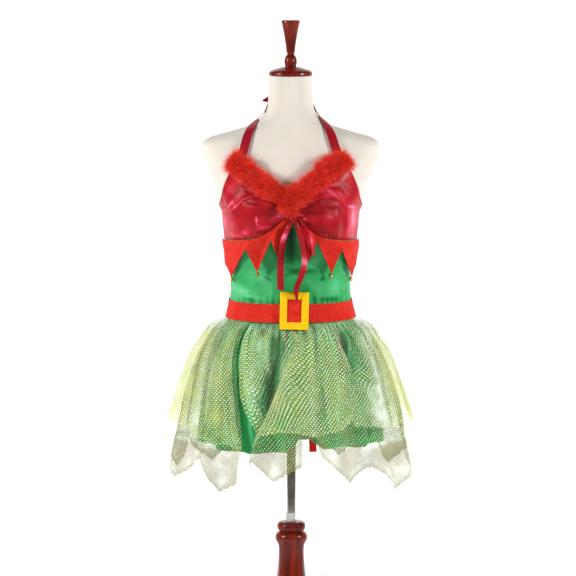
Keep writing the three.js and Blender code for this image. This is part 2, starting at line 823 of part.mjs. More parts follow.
// A strap lies on the form, from the cup over the neck's base to the knot behind it.
const STRAP_LEFT = [
  { x: -103, z: 1212.5 },
  { x: -96, z: 1236 },
  { x: -90, z: 1258 },
  { x: -82, z: 1275 },
  { x: -71.5, z: 1289.2 },
  { x: -58, z: 1303 },
  { x: -48, z: 1313, back: true },
  { x: -38, z: 1321, back: true },
  { x: -24, z: 1326, back: true },
  { x: -6.9, z: 1328, back: true },
];
const STRAP_RIGHT = [
  { x: 100, z: 1218 },
  { x: 93.5, z: 1236 },
  { x: 87, z: 1255 },
  { x: 80, z: 1271 },
  { x: 69, z: 1287 },
  { x: 57, z: 1301 },
  { x: 48, z: 1313, back: true },
  { x: 38, z: 1321, back: true },
  { x: 24, z: 1326, back: true },
  { x: 6.9, z: 1328, back: true },
];
const STRAP_OFF = 3.6;
const STRAP_KNOT_WIDTH = 13; // it narrows to this at the knot

const NORMAL_STEP = 0.12; // radians, wide enough to smooth the turn round the neck

// A ribbon that lies on the form through rows of x and height.
function ribbonOnForm(rows, off, width, steps) {
  const placed = rows.map((row) => {
    const angle = angleAt(row.x, row.z, row.back);
    const normal = normalOf(bodyPoint, angle, row.z, NORMAL_STEP, 8);
    return { point: bodyPoint(angle, row.z).addScaledVector(normal, off), normal };
  });
  const path = smoothPath(placed.map((row) => row.point), steps);
  const last = rows.length - 1;
  const across = (i) => {
    const at = (i / steps) * last;
    const from = Math.min(Math.floor(at), last - 1);
    const normal = placed[from].normal.clone().lerp(placed[from + 1].normal, at - from);
    const along = path[Math.min(i + 1, steps)].clone().sub(path[Math.max(i - 1, 0)]);
    return along.cross(normal);
  };
  return ribbon(path, across, width, RIBBON);
}

function strap(rows) {
  const width = (t) => THREE.MathUtils.lerp(STRAP_WIDTH, STRAP_KNOT_WIDTH, smooth((t - 0.6) / 0.4));
  return ribbonOnForm(rows, STRAP_OFF, width, 16);
}

const ALONG_X = new THREE.Vector3(1, 0, 0);
const ALONG_Y = new THREE.Vector3(0, 1, 0);
const ALONG_Z = new THREE.Vector3(0, 0, 1);
const NECK_KNOT = { y: 57, z: 1328 };

function vectors(rows) {
  return rows.map(([x, y, z]) => new THREE.Vector3(x, y, z));
}

// A knot is a ball pressed to its three sizes.
function knot(width, depth, height) {
  const geometry = new THREE.SphereGeometry(0.5, 10, 6);
  geometry.rotateX(Math.PI / 2);
  geometry.scale(width, depth, height);
  return facingOut(geometry);
}

const NECK_TAIL_WIDTH = { knot: 9.5, end: 17 };
const NECK_TAIL_LEFT = [
  [-7.4, 59, 1329],
  [-24, 63, 1331],
  [-40, 62, 1331],
  [-59, 55, 1328],
];
const NECK_TAIL_POINT = { from: 0.72, width: 2 }; // the left end is cut to a point

function neckTailWidth(t) {
  return THREE.MathUtils.lerp(NECK_TAIL_WIDTH.knot, NECK_TAIL_WIDTH.end, smooth(t / 0.6));
}

function neckTailLeft() {
  const { from, width } = NECK_TAIL_POINT;
  const pointed = (t) => THREE.MathUtils.lerp(neckTailWidth(t), width, Math.max(0, (t - from) / (1 - from)));
  return ribbon(smoothPath(vectors(NECK_TAIL_LEFT), 14), () => ALONG_Z, pointed, RIBBON);
}

const NECK_TAIL_OFF = 6;
const NECK_TAIL_RIGHT = [
  { x: 2.5, z: 1319.9, back: true },
  { x: 9, z: 1304, back: true },
  { x: 16, z: 1282, back: true },
  { x: 20, z: 1256, back: true },
  { x: 22, z: 1228, back: true },
];

function neckTailRight() {
  return ribbonOnForm(NECK_TAIL_RIGHT, NECK_TAIL_OFF, neckTailWidth, 8);
}

// The tie's ribbons hang from the knot in front of the points.
const TIE_LEFT = [
  [2.5, -130.5, 1091.5],
  [-7, -138, 1076],
  [-17, -133, 1050],
  [-20, -126, 1018],
  [-21, -118, 985],
  [-21, -111, 948],
];
const TIE_RIGHT = [
  [9.5, -130.5, 1091.5],
  [16, -138, 1076],
  [23, -134, 1050],
  [28, -128, 1022],
  [28, -121, 1000],
  [20, -114, 972],
  [12, -107, 949],
  [14, -105.8, 918.5],
];
const TIE_LOOP = [
  [15.4, -129.5, 1101],
  [28, -144, 1086],
  [40, -147, 1064],
  [46, -145, 1038],
  [45, -140, 1023],
  [40, -136, 1034],
  [34, -136, 1056],
  [25, -136, 1078],
  [15.4, -129.5, 1094.5],
];

const TIE_TURN = 0.5; // radians that a tail turns to and fro as it hangs

function tieTail(rows, count, turn) {
  const path = smoothPath(vectors(rows), count);
  const across = (i) => {
    const angle = turn * Math.sin((i / count) * Math.PI * 1.5);
    return new THREE.Vector3(Math.cos(angle), Math.sin(angle), 0);
  };
  const width = (t) => THREE.MathUtils.lerp(6, TIE_WIDTH, smooth(t / 0.25));
  return ribbon(path, across, width, RIBBON);
}

const LOOP_ACROSS = new THREE.Vector3(0.45, 0.9, 0.1);

function tieLoop() {
  const path = smoothPath(vectors(TIE_LOOP), 18);
  const width = (t) => 5 + (TIE_WIDTH - 3) * Math.sin(Math.PI * t);
  return ribbon(path, () => LOOP_ACROSS, width, RIBBON);
}

// Felt points

// How far the lower edge stands off the bodice, from the inner edge out to the side seam.
function pointsStandOff(u) {
  return POINTS_STAND_OFF * (1 - POINTS_HUG * smooth((u - 0.5) / 0.4));
}

// A pointed layer sewn under a cup. u runs from its inner edge out to the side seam.
function points(rows, topInnerX) {
  const side = Math.sign(rows[1].x);
  const sideAngle = side < 0 ? -Math.PI + SIDE_GAP : -SIDE_GAP;
  const lowerAt = rows.map((row, i) => ({ ...row, u: i / (rows.length - 1) }));
  const lowX = straightColumn(lowerAt, 'u', 'x');
  const lowZ = straightColumn(lowerAt, 'u', 'z');
  const columns = placesThrough(lowerAt, 'u', 0.066);
  return clothWall(columns, [0, 0.25, 0.6, 1], FELT, (u, v) => {
    const top = seamPlace(u, topInnerX, side);
    const z = lowZ(u);
    const turn = smooth((u - POINTS_TURN) / (1 - POINTS_TURN));
    const lowAngle = THREE.MathUtils.lerp(angleAt(lowX(u), z), sideAngle, turn);
    const standOff = pointsStandOff(u);
    return {
      angle: THREE.MathUtils.lerp(top.angle, lowAngle, v),
      z: THREE.MathUtils.lerp(top.z - SEAM, z, v),
      off: LAYER.points - POINTS_TUCK * (1 - smooth(v / 0.25)) + standOff * v ** 1.3,
    };
  });
}

// The bells hang just under the tips of the points.
const BELLS = [POINTS_LEFT, POINTS_RIGHT].flatMap((rows) =>
  rows.flatMap((row, i) => {
    if (!row.tip) return [];
    const off = LAYER.points + pointsStandOff(i / (rows.length - 1)) - FELT / 2;
    const place = clothPoint(angleAt(row.x, row.z), row.z, off);
    place.z -= BELL_RADIUS + BELL_DROP;
    return [place];
  }),
);

// Belt

const BELT_LEAN = 2.4; // the upper edge lies this much closer to the form

function belt() {
  const columns = 60;
  const rows = [
    { z: WAIST_Z + BELT_HEIGHT, off: LAYER.belt - BELT_LEAN },
    { z: WAIST_Z, off: LAYER.belt },
  ];
  const grid = (inward) =>
    range(columns).map((k) => {
      const angle = (k / columns) * 2 * Math.PI;
      return rows.map((row) => clothPoint(angle, row.z, row.off - inward));
    });
  return wallBetween(grid(0), grid(FELT), true);
}

// The buckle stands flat in front of the belt, leaning back with the belly.
const BUCKLE_MIDDLE = { x: 7.5, y: -104.3, z: 903 };
const BUCKLE_LEAN = radians(12.3);
const BUCKLE_TURN = radians(-1.2);

function rectangle(width, height, x = 0, y = 0) {
  const path = new THREE.Path();
  path.moveTo(x - width / 2, y - height / 2);
  path.lineTo(x + width / 2, y - height / 2);
  path.lineTo(x + width / 2, y + height / 2);
  path.lineTo(x - width / 2, y + height / 2);
  path.closePath();
  return path;
}

// A flat piece in the buckle's plane, its back face this far in front of the plane.
function buckleSheet(shape, thick, ahead) {
  const geometry = new THREE.ExtrudeGeometry(shape, { depth: thick, bevelEnabled: false });
  geometry.translate(0, 0, ahead);
  geometry.rotateZ(BUCKLE_TURN);
  geometry.rotateX(Math.PI / 2 - BUCKLE_LEAN);
  geometry.translate(BUCKLE_MIDDLE.x, BUCKLE_MIDDLE.y, BUCKLE_MIDDLE.z);
  return facingOut(geometry);
}

function buckleFrame() {
  const shape = new THREE.Shape(rectangle(BUCKLE.width, BUCKLE.height).getPoints());
  const window = rectangle(BUCKLE.width - 2 * BUCKLE.bar, BUCKLE.height - 2 * BUCKLE.bar);
  shape.holes.push(window);
  return buckleSheet(shape, BUCKLE.thick, 0);
}

function bucklePatch() {
  const width = BUCKLE.width - 2 * BUCKLE.bar - 2 * SEAM;
  const height = BUCKLE.height - 2 * BUCKLE.bar - 2 * SEAM;
  const shape = new THREE.Shape(rectangle(width, height).getPoints());
  return buckleSheet(shape, RIBBON, 0);
}

// The belt is tied at the back, and its ends hang over the skirt.
const BELT_KNOT = { y: 105.2, z: 892 };
const BELT_TAIL_RIGHT = [
  [9, 110.2, 884],
  [18, 140, 866],
  [28, 172, 834],
  [36, 200, 786],
  [41, 222, 724],
  [44, 236, 664],
  [47, 240, 606],
  [49, 240, 548],
];
const BELT_TAIL_LEFT = [
  [-9, 110.2, 884],
  [-17, 140, 866],
  [-27, 172, 834],
  [-34, 200, 786],
  [-39, 222, 724],
  [-42, 236, 664],
];
const TAIL_WIDTH = 16;

function beltTail(rows) {
  const count = rows.length * 2;
  const width = (t) => THREE.MathUtils.lerp(10, TAIL_WIDTH, smooth(t / 0.2));
  return ribbon(smoothPath(vectors(rows), count), () => ALONG_X, width, FELT);
}

// Skirt

function foldAt(degrees) {
  return SKIRT_FOLDS.reduce((total, fold) => {
    const away = THREE.MathUtils.euclideanModulo(degrees - fold.at + 180, 360) - 180;
    const share = Math.abs(away) / (fold.half * FOLD_SPREAD);
    return share < 1 ? total + (fold.out * (1 + Math.cos(Math.PI * share))) / 2 : total;
  }, 0);
}

// The surface of one skirt layer, by degrees from the front and height.
function skirtSurface(rows, off, gathered) {
  const out = ['side', 'front', 'back'].map((name) => smoothColumn(rows, 'drop', name));
  return (degrees, z) => {
    const angle = radians(degrees - 90);
    const drop = Math.max(0, WAIST_Z - z);
    const start = clothPoint(angle, Math.max(z, WAIST_Z), off);
    const [side, front, back] = out.map((column) => column(drop));
    const fold = foldAt(degrees) * smooth(drop / FOLD_DROP) ** 0.8;
    const fade = smooth(drop / 12) * (1 - smooth(drop / GATHER_DROP));
    const gather = (GATHER_OUT * fade * (1 - Math.cos(radians(degrees) * GATHERS))) / 2;
    const push = gathered ? fold + gather : fold;
    const across = Math.cos(angle);
    const deep = Math.sin(angle);
    const x = start.x + (side + push) * across;
    const y = start.y + ((deep < 0 ? front : back) + push) * deep;
    return new THREE.Vector3(x, y, Math.min(z, SKIRT_TOP_Z));
  };
}

const DEGREE_STEP = 1;
const UNDER_BELT = -1; // marks the row that lies under the belt

// A wall of one skirt layer. The rows are shares of the way from the waist to the hem.
function skirtWall(surface, degrees, drops, hemAt, thick, allRound) {
  const place = (column, share) => {
    const z = share < 0 ? SKIRT_TOP_Z : THREE.MathUtils.lerp(WAIST_Z, hemAt(column), share);
    return { degrees: column(z), z };
  };
  const grid = (inward) =>
    degrees.map((column) =>
      drops.map((share) => {
        const { degrees: at, z } = place(column, share);
        const normal = normalOf(surface, at, Math.min(z, SKIRT_TOP_Z - 1), DEGREE_STEP, 1);
        return surface(at, z).addScaledVector(normal, -inward);
      }),
    );
  return wallBetween(grid(0), grid(thick), allRound);
}

const SLIT_LEANS = 0.2; // the part of the way round over which columns lean with the slit

// The columns of a net: each gives its angle at a height, from the slit once round.
function slitColumns(hemRows, step) {
  const edge = SLIT.bottom;
  const stops = hemRows
    .filter((row) => row.at > -180)
    .map((row) => THREE.MathUtils.euclideanModulo(row.at - edge, 360))
    .filter((at) => at > SLIT.margin + 1 && at < 359 - SLIT.margin)
    .sort((a, b) => a - b);
  const rows = [SLIT.margin, ...stops, 360 - SLIT.margin].map((at) => ({ at }));
  return placesThrough(rows, 'at', step).map((around) => {
    const share = around / 360;
    const column = (z) => {
      const t = smooth((WAIST_Z - z) / SLIT.drop);
      const middle = THREE.MathUtils.lerp(SLIT.top, SLIT.bottom, t);
      const gap = THREE.MathUtils.lerp(SLIT.gapTop, SLIT.gapBottom, t);
      const beside = 1 - smooth(Math.min(share, 1 - share) / SLIT_LEANS);
      const lean = (middle - SLIT.bottom) * beside;
      return SLIT.bottom + lean + gap / 2 + share * (360 - gap);
    };
    column.hem = edge + around;
    return column;
  });
}

function hemHeight(rows) {
  const height = straightColumn(rows, 'at', 'z');
  return (column) => height(THREE.MathUtils.euclideanModulo(column.hem + 180, 360) - 180);
}

const UNDERSKIRT_COLUMNS = 60;

function underskirt() {
  const surface = skirtSurface(UNDERSKIRT_ROWS, LAYER.underskirt, false);
  const columns = range(UNDERSKIRT_COLUMNS).map((k) => {
    const degrees = (k / UNDERSKIRT_COLUMNS) * 360 - 180;
    const column = () => degrees;
    column.hem = degrees;
    return column;
  });
  const drops = [UNDER_BELT, 0, 0.09, 0.2, 0.42, 0.7, 1];
  return skirtWall(surface, columns, drops, hemHeight(UNDERSKIRT_HEM), SATIN, true);
}

function netLower() {
  const surface = skirtSurface(NET_LOWER_ROWS, LAYER.netLower, false);
  const drops = [UNDER_BELT, 0, 0.07, 0.15, 0.32, 0.6, 0.82, 1];
  return skirtWall(surface, slitColumns(NET_LOWER_HEM, 6), drops, hemHeight(NET_LOWER_HEM), NET, false);
}

function netUpper() {
  const surface = skirtSurface(NET_UPPER_ROWS, LAYER.netUpper, true);
  const drops = [UNDER_BELT, 0, 0.04, 0.11, 0.26, 0.52, 0.78, 1];
  return skirtWall(surface, slitColumns(NET_UPPER_HEM, 4.6), drops, hemHeight(NET_UPPER_HEM), NET, false);
}

// Assembly

const costume = new THREE.Group();

function add(name, geometry, finish, place = { x: 0, y: 0, z: 0 }) {
  const mesh = new THREE.Mesh(geometry, finish);
  mesh.name = name;
  mesh.position.set(place.x, place.y, place.z);
  costume.add(mesh);
}

add('form_torso', formTorso(), FORM_COVER);
add('neck_cap', turned(NECK_CAP_ROWS, ROUND_SIDES), WOOD);
add('finial', turned(FINIAL_ROWS, ROUND_SIDES), WOOD);

const ON_STAND = { x: STAND_X, y: 0, z: 0 };
add('pole', pole(), CHROME, ON_STAND);
add('pole_collar', poleCollar(), PLASTIC_WHITE, ON_STAND);
add('stand_column', standColumn(), WOOD, ON_STAND);
range(3).forEach((k) => add(`stand_leg_${k + 1}`, standLeg(radians(90 + 120 * k)), WOOD, ON_STAND));

add('bodice_front', bodiceFront(), SATIN_GREEN);
add('bodice_back', bodiceBack(), SATIN_GREEN);
add('cup_left', cup(-1), SATIN_RED);
add('cup_right', cup(1), SATIN_RED);
add('marabou_left', marabou(-1), MARABOU_RED);
add('marabou_right', marabou(1), MARABOU_RED);
add('strap_left', strap(STRAP_LEFT), RIBBON_RED);
add('strap_right', strap(STRAP_RIGHT), RIBBON_RED);
add('neck_knot', knot(15, 10, 14), RIBBON_RED, { x: 0, y: NECK_KNOT.y, z: NECK_KNOT.z });
add('neck_tail_left', neckTailLeft(), RIBBON_RED);
add('neck_tail_right', neckTailRight(), RIBBON_RED);

add('tie_knot', knot(18, 10, 14), SATIN_RED, KNOT);
add('tie_tail_left', tieTail(TIE_LEFT, 12, TIE_TURN), SATIN_RED);
add('tie_tail_right', tieTail(TIE_RIGHT, 16, -TIE_TURN), SATIN_RED);
add('tie_loop_right', tieLoop(), SATIN_RED);

add('points_left', points(POINTS_LEFT, POINTS_INNER_X.left), FELT_RED);
add('points_right', points(POINTS_RIGHT, POINTS_INNER_X.right), FELT_RED);
BELLS.forEach((place, k) => {
  add(`bell_${k + 1}`, new THREE.SphereGeometry(BELL_RADIUS, 8, 6), BELL_GOLD, place);
});

add('belt', belt(), FELT_RED);
add('buckle', buckleFrame(), FELT_YELLOW);
add('buckle_patch', bucklePatch(), FELT_RED);
add('belt_knot', knot(26, 16, 30), FELT_RED, { x: 0, ...BELT_KNOT });
add('belt_tail_left', beltTail(BELT_TAIL_LEFT), FELT_RED);
add('belt_tail_right', beltTail(BELT_TAIL_RIGHT), FELT_RED);

add('underskirt', underskirt(), SATIN_GREEN);
add('net_lower', netLower(), NET_GREEN);
add('net_upper', netUpper(), NET_GREEN);

export default costume;
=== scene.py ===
import math

import bmesh
import bpy
import numpy as np
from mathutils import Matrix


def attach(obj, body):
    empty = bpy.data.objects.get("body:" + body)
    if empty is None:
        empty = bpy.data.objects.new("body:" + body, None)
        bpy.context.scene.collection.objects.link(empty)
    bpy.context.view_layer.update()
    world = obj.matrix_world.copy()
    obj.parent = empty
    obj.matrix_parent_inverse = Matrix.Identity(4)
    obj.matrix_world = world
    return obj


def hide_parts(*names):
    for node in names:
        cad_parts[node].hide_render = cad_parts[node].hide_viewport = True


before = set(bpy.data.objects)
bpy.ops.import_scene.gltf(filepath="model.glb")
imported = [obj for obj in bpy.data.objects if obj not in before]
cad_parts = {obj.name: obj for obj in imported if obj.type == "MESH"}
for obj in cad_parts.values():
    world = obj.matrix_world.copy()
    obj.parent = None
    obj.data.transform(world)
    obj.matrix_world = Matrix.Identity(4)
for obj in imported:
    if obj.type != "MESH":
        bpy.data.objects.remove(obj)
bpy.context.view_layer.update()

# Elf costume on a limbless dress form with a turned wooden stand.
# Shapes are worked out in millimetres and made in metres. The front faces -Y.

MM = 0.001
FORM, STAND = "dressed_form", "stand"

# Camera, light and floor

TARGET = (-0.0055, 0.0, 0.938)
CAMERA_DISTANCE = 8.0
CAMERA_ELEVATION = math.radians(7.25)
CAMERA_LENS = 238.1
LIGHTS = [  # name, azimuth, elevation, distance, size, power
    ("key_left", -66, 20, 3.4, 0.2, 102),
    ("key_right", 66, 18, 3.4, 0.24, 94),
    ("front_fill", 4, 26, 4.2, 2.0, 13),
]
BACKDROP_AT, BACKDROP_TILT = (3.0, 1.6, 2.6), math.radians(80)
BACKDROP_SIZE, BACKDROP_POWER = 3.0, 330
WORLD_STRENGTH = 0.07


def add_camera():
    camera = bpy.data.objects.new("camera", bpy.data.cameras.new("camera"))
    camera.data.lens = CAMERA_LENS
    camera.data.sensor_width = 36.0
    camera.data.clip_end = 200.0
    camera.location = (
        TARGET[0],
        -CAMERA_DISTANCE * math.cos(CAMERA_ELEVATION),
        TARGET[2] + CAMERA_DISTANCE * math.sin(CAMERA_ELEVATION),
    )
    camera.rotation_euler = (math.pi / 2 - CAMERA_ELEVATION, 0, 0)
    bpy.context.collection.objects.link(camera)
    bpy.context.scene.camera = camera


def add_light(name, azimuth, elevation, distance, size, power):
    """A square soft light that looks at the costume. Azimuth 0 is in front, 90 at the viewer's right."""
    light = bpy.data.objects.new(name, bpy.data.lights.new(name, "AREA"))
    light.data.size = size
    light.data.energy = power
    around, up = math.radians(azimuth), math.radians(elevation)
    light.location = (
        distance * math.cos(up) * math.sin(around),
        -distance * math.cos(up) * math.cos(around),
        TARGET[2] + 0.1 + distance * math.sin(up),
    )
    light.rotation_euler = (math.pi / 2 - up, 0, around)
    bpy.context.collection.objects.link(light)


def add_backdrop_light(name, side):
    """A wide light behind the costume that only faces the backdrop."""
    light = bpy.data.objects.new(name, bpy.data.lights.new(name, "AREA"))
    light.data.size = BACKDROP_SIZE
    light.data.energy = BACKDROP_POWER
    light.location = (side * BACKDROP_AT[0], BACKDROP_AT[1], BACKDROP_AT[2])
    light.rotation_euler = (BACKDROP_TILT, 0, 0)
    bpy.context.collection.objects.link(light)


def add_floor():
    """A pale floor that curves up behind the object, away from it."""
    reach, radius, height = 6.0, 2.0, 9.0
    bend = [i * math.pi / 32 for i in range(17)]
    profile = [(-reach, 0.0), (0.0, 0.0)]
    profile += [(reach + radius * math.sin(a), radius - radius * math.cos(a)) for a in bend]
    profile.append((reach + radius, height))
    verts = [(x, y, z) for y, z in profile for x in (-reach * 2, reach * 2)]
    faces = [(2 * i, 2 * i + 1, 2 * i + 3, 2 * i + 2) for i in range(len(profile) - 1)]
    mesh = bpy.data.meshes.new("floor")
    mesh.from_pydata(verts, [], faces)
    mesh.polygons.foreach_set("use_smooth", [True] * len(faces))
    placed("floor", mesh, paper())


def add_world():
    world = bpy.data.worlds.new("world")
    world.use_nodes = True
    world.node_tree.nodes["Background"].inputs["Color"].default_value = (1, 1, 1, 1)
    world.node_tree.nodes["Background"].inputs["Strength"].default_value = WORLD_STRENGTH
    bpy.context.scene.world = world
    bpy.context.scene.view_settings.view_transform = "Standard"


def placed(name, mesh, material):
    """An object of this mesh in the scene."""
    obj = bpy.data.objects.new(name, mesh)
    bpy.context.collection.objects.link(obj)
    obj.data.materials.append(material)
    return obj


# Materials


def srgb(red, green, blue):
    """A colour as the eye names it, 0 to 255, as linear light."""
    parts = [c / 255 for c in (red, green, blue)]
    return tuple(c / 12.92 if c < 0.04045 else ((c + 0.055) / 1.055) ** 2.4 for c in parts) + (1,)


class Finish:
    """A procedural material, built up around one shader."""

    def __init__(self, name, colour, roughness, **values):
        self.material = bpy.data.materials.new(name)
        self.material.use_nodes = True
        self.tree = self.material.node_tree
        self.shader = self.tree.nodes["Principled BSDF"]
        self.set("Base Color", colour)
        self.set("Roughness", roughness)
        for key, value in values.items():
            self.set(key.replace("_", " "), value)

    def set(self, socket, value):
        if hasattr(value, "is_output"):
            self.tree.links.new(value, self.shader.inputs[socket])
        else:
            self.shader.inputs[socket].default_value = value

    def node(self, kind, inputs=(), **settings):
        node = self.tree.nodes.new("ShaderNode" + kind)
        for key, value in settings.items():
            setattr(node, key, value)
        for key, value in dict(inputs).items():
            if hasattr(value, "is_output"):
                self.tree.links.new(value, node.inputs[key])
            else:
                node.inputs[key].default_value = value
        return node

    def place(self, uv=False, scale=(1, 1, 1), turn=0.0):
        """Where a point is on the object, in metres, or on the cut cloth with uv."""
        source = self.node("TexCoord").outputs["UV" if uv else "Object"]
        mapping = self.node("Mapping", {"Vector": source, "Scale": scale, "Rotation": (0, 0, turn)})
        return mapping.outputs["Vector"]

    def noise(self, scale, detail=3.0, roughness=0.5, at=None, distortion=0.0):
        values = {"Scale": scale, "Detail": detail, "Roughness": roughness, "Distortion": distortion}
        values["Vector"] = at or self.place()
        return self.node("TexNoise", values).outputs["Fac"]

    def ramp(self, value, *stops):
        """A value between stops of (place, colour)."""
        node = self.node("ValToRGB", {"Fac": value})
        ramp = node.color_ramp
        while len(ramp.elements) < len(stops):
            ramp.elements.new(0.5)
        for element, (place, colour) in zip(ramp.elements, stops):
            element.position = place
            element.color = colour if hasattr(colour, "__len__") else (colour, colour, colour, 1)
        return node.outputs["Color"]

    def tone(self, name="tone"):
        """A value between 0 and 1 that the mesh carries, such as how far a fold is in the light."""
        return self.node("Attribute", attribute_name=name).outputs["Fac"]

    def math(self, operation, a, b=0.5):
        return self.node("Math", {0: a, 1: b}, operation=operation).outputs[0]

    def mix(self, factor, a, b, blend="MIX"):
        node = self.node("Mix", {0: factor, 6: a, 7: b}, data_type="RGBA", blend_type=blend)
        return node.outputs[2]

    def bump(self, height, distance, strength=1.0):
        """Relief of this real depth, in metres, on top of what is there."""
        socket = self.shader.inputs["Normal"]
        values = {"Height": height, "Distance": distance, "Strength": strength}
        if socket.is_linked:
            values["Normal"] = socket.links[0].from_socket
        self.set("Normal", self.node("Bump", values).outputs["Normal"])

    def weave(self, pitch, uv=True):
        """Threads over and under each other, this far apart in metres."""
        at = self.place(uv=uv)
        bands = [
            self.node(
                "TexWave",
                {"Vector": at, "Scale": 0.5 / pitch / math.pi},
                wave_type="BANDS",
                bands_direction=direction,
            ).outputs["Fac"]
            for direction in "XY"
        ]
        return self.math("MULTIPLY", *bands)


def paper():
    finish = Finish("floor_paper", srgb(250, 250, 250), 0.9)
    finish.bump(finish.noise(40), 0.0004)
    return finish.material


def satin(name, tones, roughness=0.34):
    """Shiny satin: long floats along the cloth, with painted shade in its folds and painted highlights on
    their crests.

    tones are the colours from the painted shade at the depth of a fold to the painted highlight on its
    crest.
    """
    finish = Finish(name, tones[1], roughness, Sheen_Weight=0.03, Sheen_Roughness=0.35)
    patches = finish.noise(26, 3, 0.55, distortion=0.7)
    spread = finish.math("MULTIPLY", finish.math("SUBTRACT", patches, 0.5), 0.35)
    tone = finish.math("ADD", finish.tone(), spread)
    finish.set("Base Color", finish.ramp(tone, *zip((0.02, 0.3, 0.55, 0.8, 0.98), tones)))
    fine = finish.noise(1.0, 2, 0.6, at=finish.place(uv=True, scale=(90, 900, 1)))
    finish.set("Roughness", finish.ramp(fine, (0.25, roughness - 0.06), (0.8, roughness + 0.1)))
    finish.set("Anisotropic", 0.5)
    finish.set("Specular IOR Level", 0.13)
    finish.bump(fine, 0.0001)
    finish.bump(finish.noise(60, 3, 0.55, distortion=0.8), 0.0008, 0.45)
    finish.bump(finish.weave(0.0005), 0.00004)
    return finish.material


def felt(name, deep, light):
    """Matted felt with a faint nap."""
    finish = Finish(name, deep, 0.97, Sheen_Weight=0.06, Sheen_Roughness=0.5)
    finish.set("Specular IOR Level", 0.2)
    patches = finish.noise(60, 6, 0.7)
    finish.set("Base Color", finish.ramp(patches, (0.3, deep), (0.7, light)))
    fibres = finish.noise(900, 6, 0.75, distortion=1.5)
    finish.bump(fibres, 0.0003, 0.8)
    finish.bump(finish.noise(120, 3), 0.0004, 0.5)
    return finish.material


def jersey():
    """The form's stretched off-white cover."""
    finish = Finish("form_jersey", srgb(226, 218, 206), 0.8, Sheen_Weight=0.1, Sheen_Roughness=0.5)
    tint = finish.noise(9, 2)
    finish.set("Base Color", finish.ramp(tint, (0.3, srgb(224, 215, 203)), (0.7, srgb(230, 223, 212))))
    finish.bump(finish.weave(0.0011), 0.00012, 0.6)
    return finish.material


def mahogany():
    """Varnished red-brown wood, its grain along the height."""
    finish = Finish("mahogany", srgb(84, 20, 11), 0.3, Coat_Weight=0.22, Coat_Roughness=0.05)
    finish.set("Specular IOR Level", 0.25)
    at = finish.place(scale=(60, 60, 5))
    grain = finish.noise(1.0, 6, 0.6, at=at, distortion=1.2)
    streaks = finish.noise(1.0, 3, 0.5, at=finish.place(scale=(260, 260, 9)))
    dark, mid, light = srgb(54, 8, 2), srgb(120, 24, 5), srgb(172, 54, 14)
    base = finish.ramp(grain, (0.28, dark), (0.5, mid), (0.78, light))
    pores = finish.ramp(streaks, (0.42, 0.55), (0.6, 1.0))
    finish.set("Base Color", finish.mix(0.6, base, pores, "MULTIPLY"))
    finish.set("Roughness", finish.ramp(grain, (0.3, 0.36), (0.7, 0.24)))
    finish.bump(streaks, 0.0001, 0.3)
    return finish.material


def chrome():
    finish = Finish("chrome", srgb(178, 170, 160), 0.16, Metallic=0.75)
    marks = finish.noise(1.0, 4, 0.6, at=finish.place(scale=(40, 40, 400)))
    finish.set("Roughness", finish.ramp(marks, (0.3, 0.07), (0.75, 0.2)))
    finish.bump(marks, 0.00002, 0.3)
    return finish.material


def plastic():
    finish = Finish("white_plastic", srgb(240, 241, 243), 0.35)
    cloud = finish.noise(300, 3)
    finish.set("Roughness", finish.ramp(cloud, (0.3, 0.3), (0.7, 0.45)))
    finish.bump(cloud, 0.00005, 0.4)
    return finish.material


def gold():
    finish = Finish("bell_gold", srgb(222, 168, 74), 0.2, Metallic=1.0)
    tarnish = finish.noise(350, 4)
    finish.set("Base Color", finish.ramp(tarnish, (0.35, srgb(176, 118, 44)), (0.65, srgb(236, 190, 104))))
    finish.set("Roughness", finish.ramp(tarnish, (0.3, 0.32), (0.7, 0.14)))
    return finish.material


def feathers():
    finish = Finish("marabou", srgb(236, 32, 20), 0.8, Sheen_Weight=0.5, Sheen_Roughness=0.5)
    finish.set("Sheen Tint", srgb(255, 60, 44))
    finish.set("Specular IOR Level", 0.2)
    tint = finish.noise(160, 4, 0.6)
    stops = (0.3, srgb(255, 40, 28)), (0.5, srgb(255, 78, 56)), (0.7, srgb(255, 118, 94))
    finish.set("Base Color", finish.ramp(tint, *stops))
    return finish.material


DOT_PITCH = 0.006  # from dot to dot along a row of the net


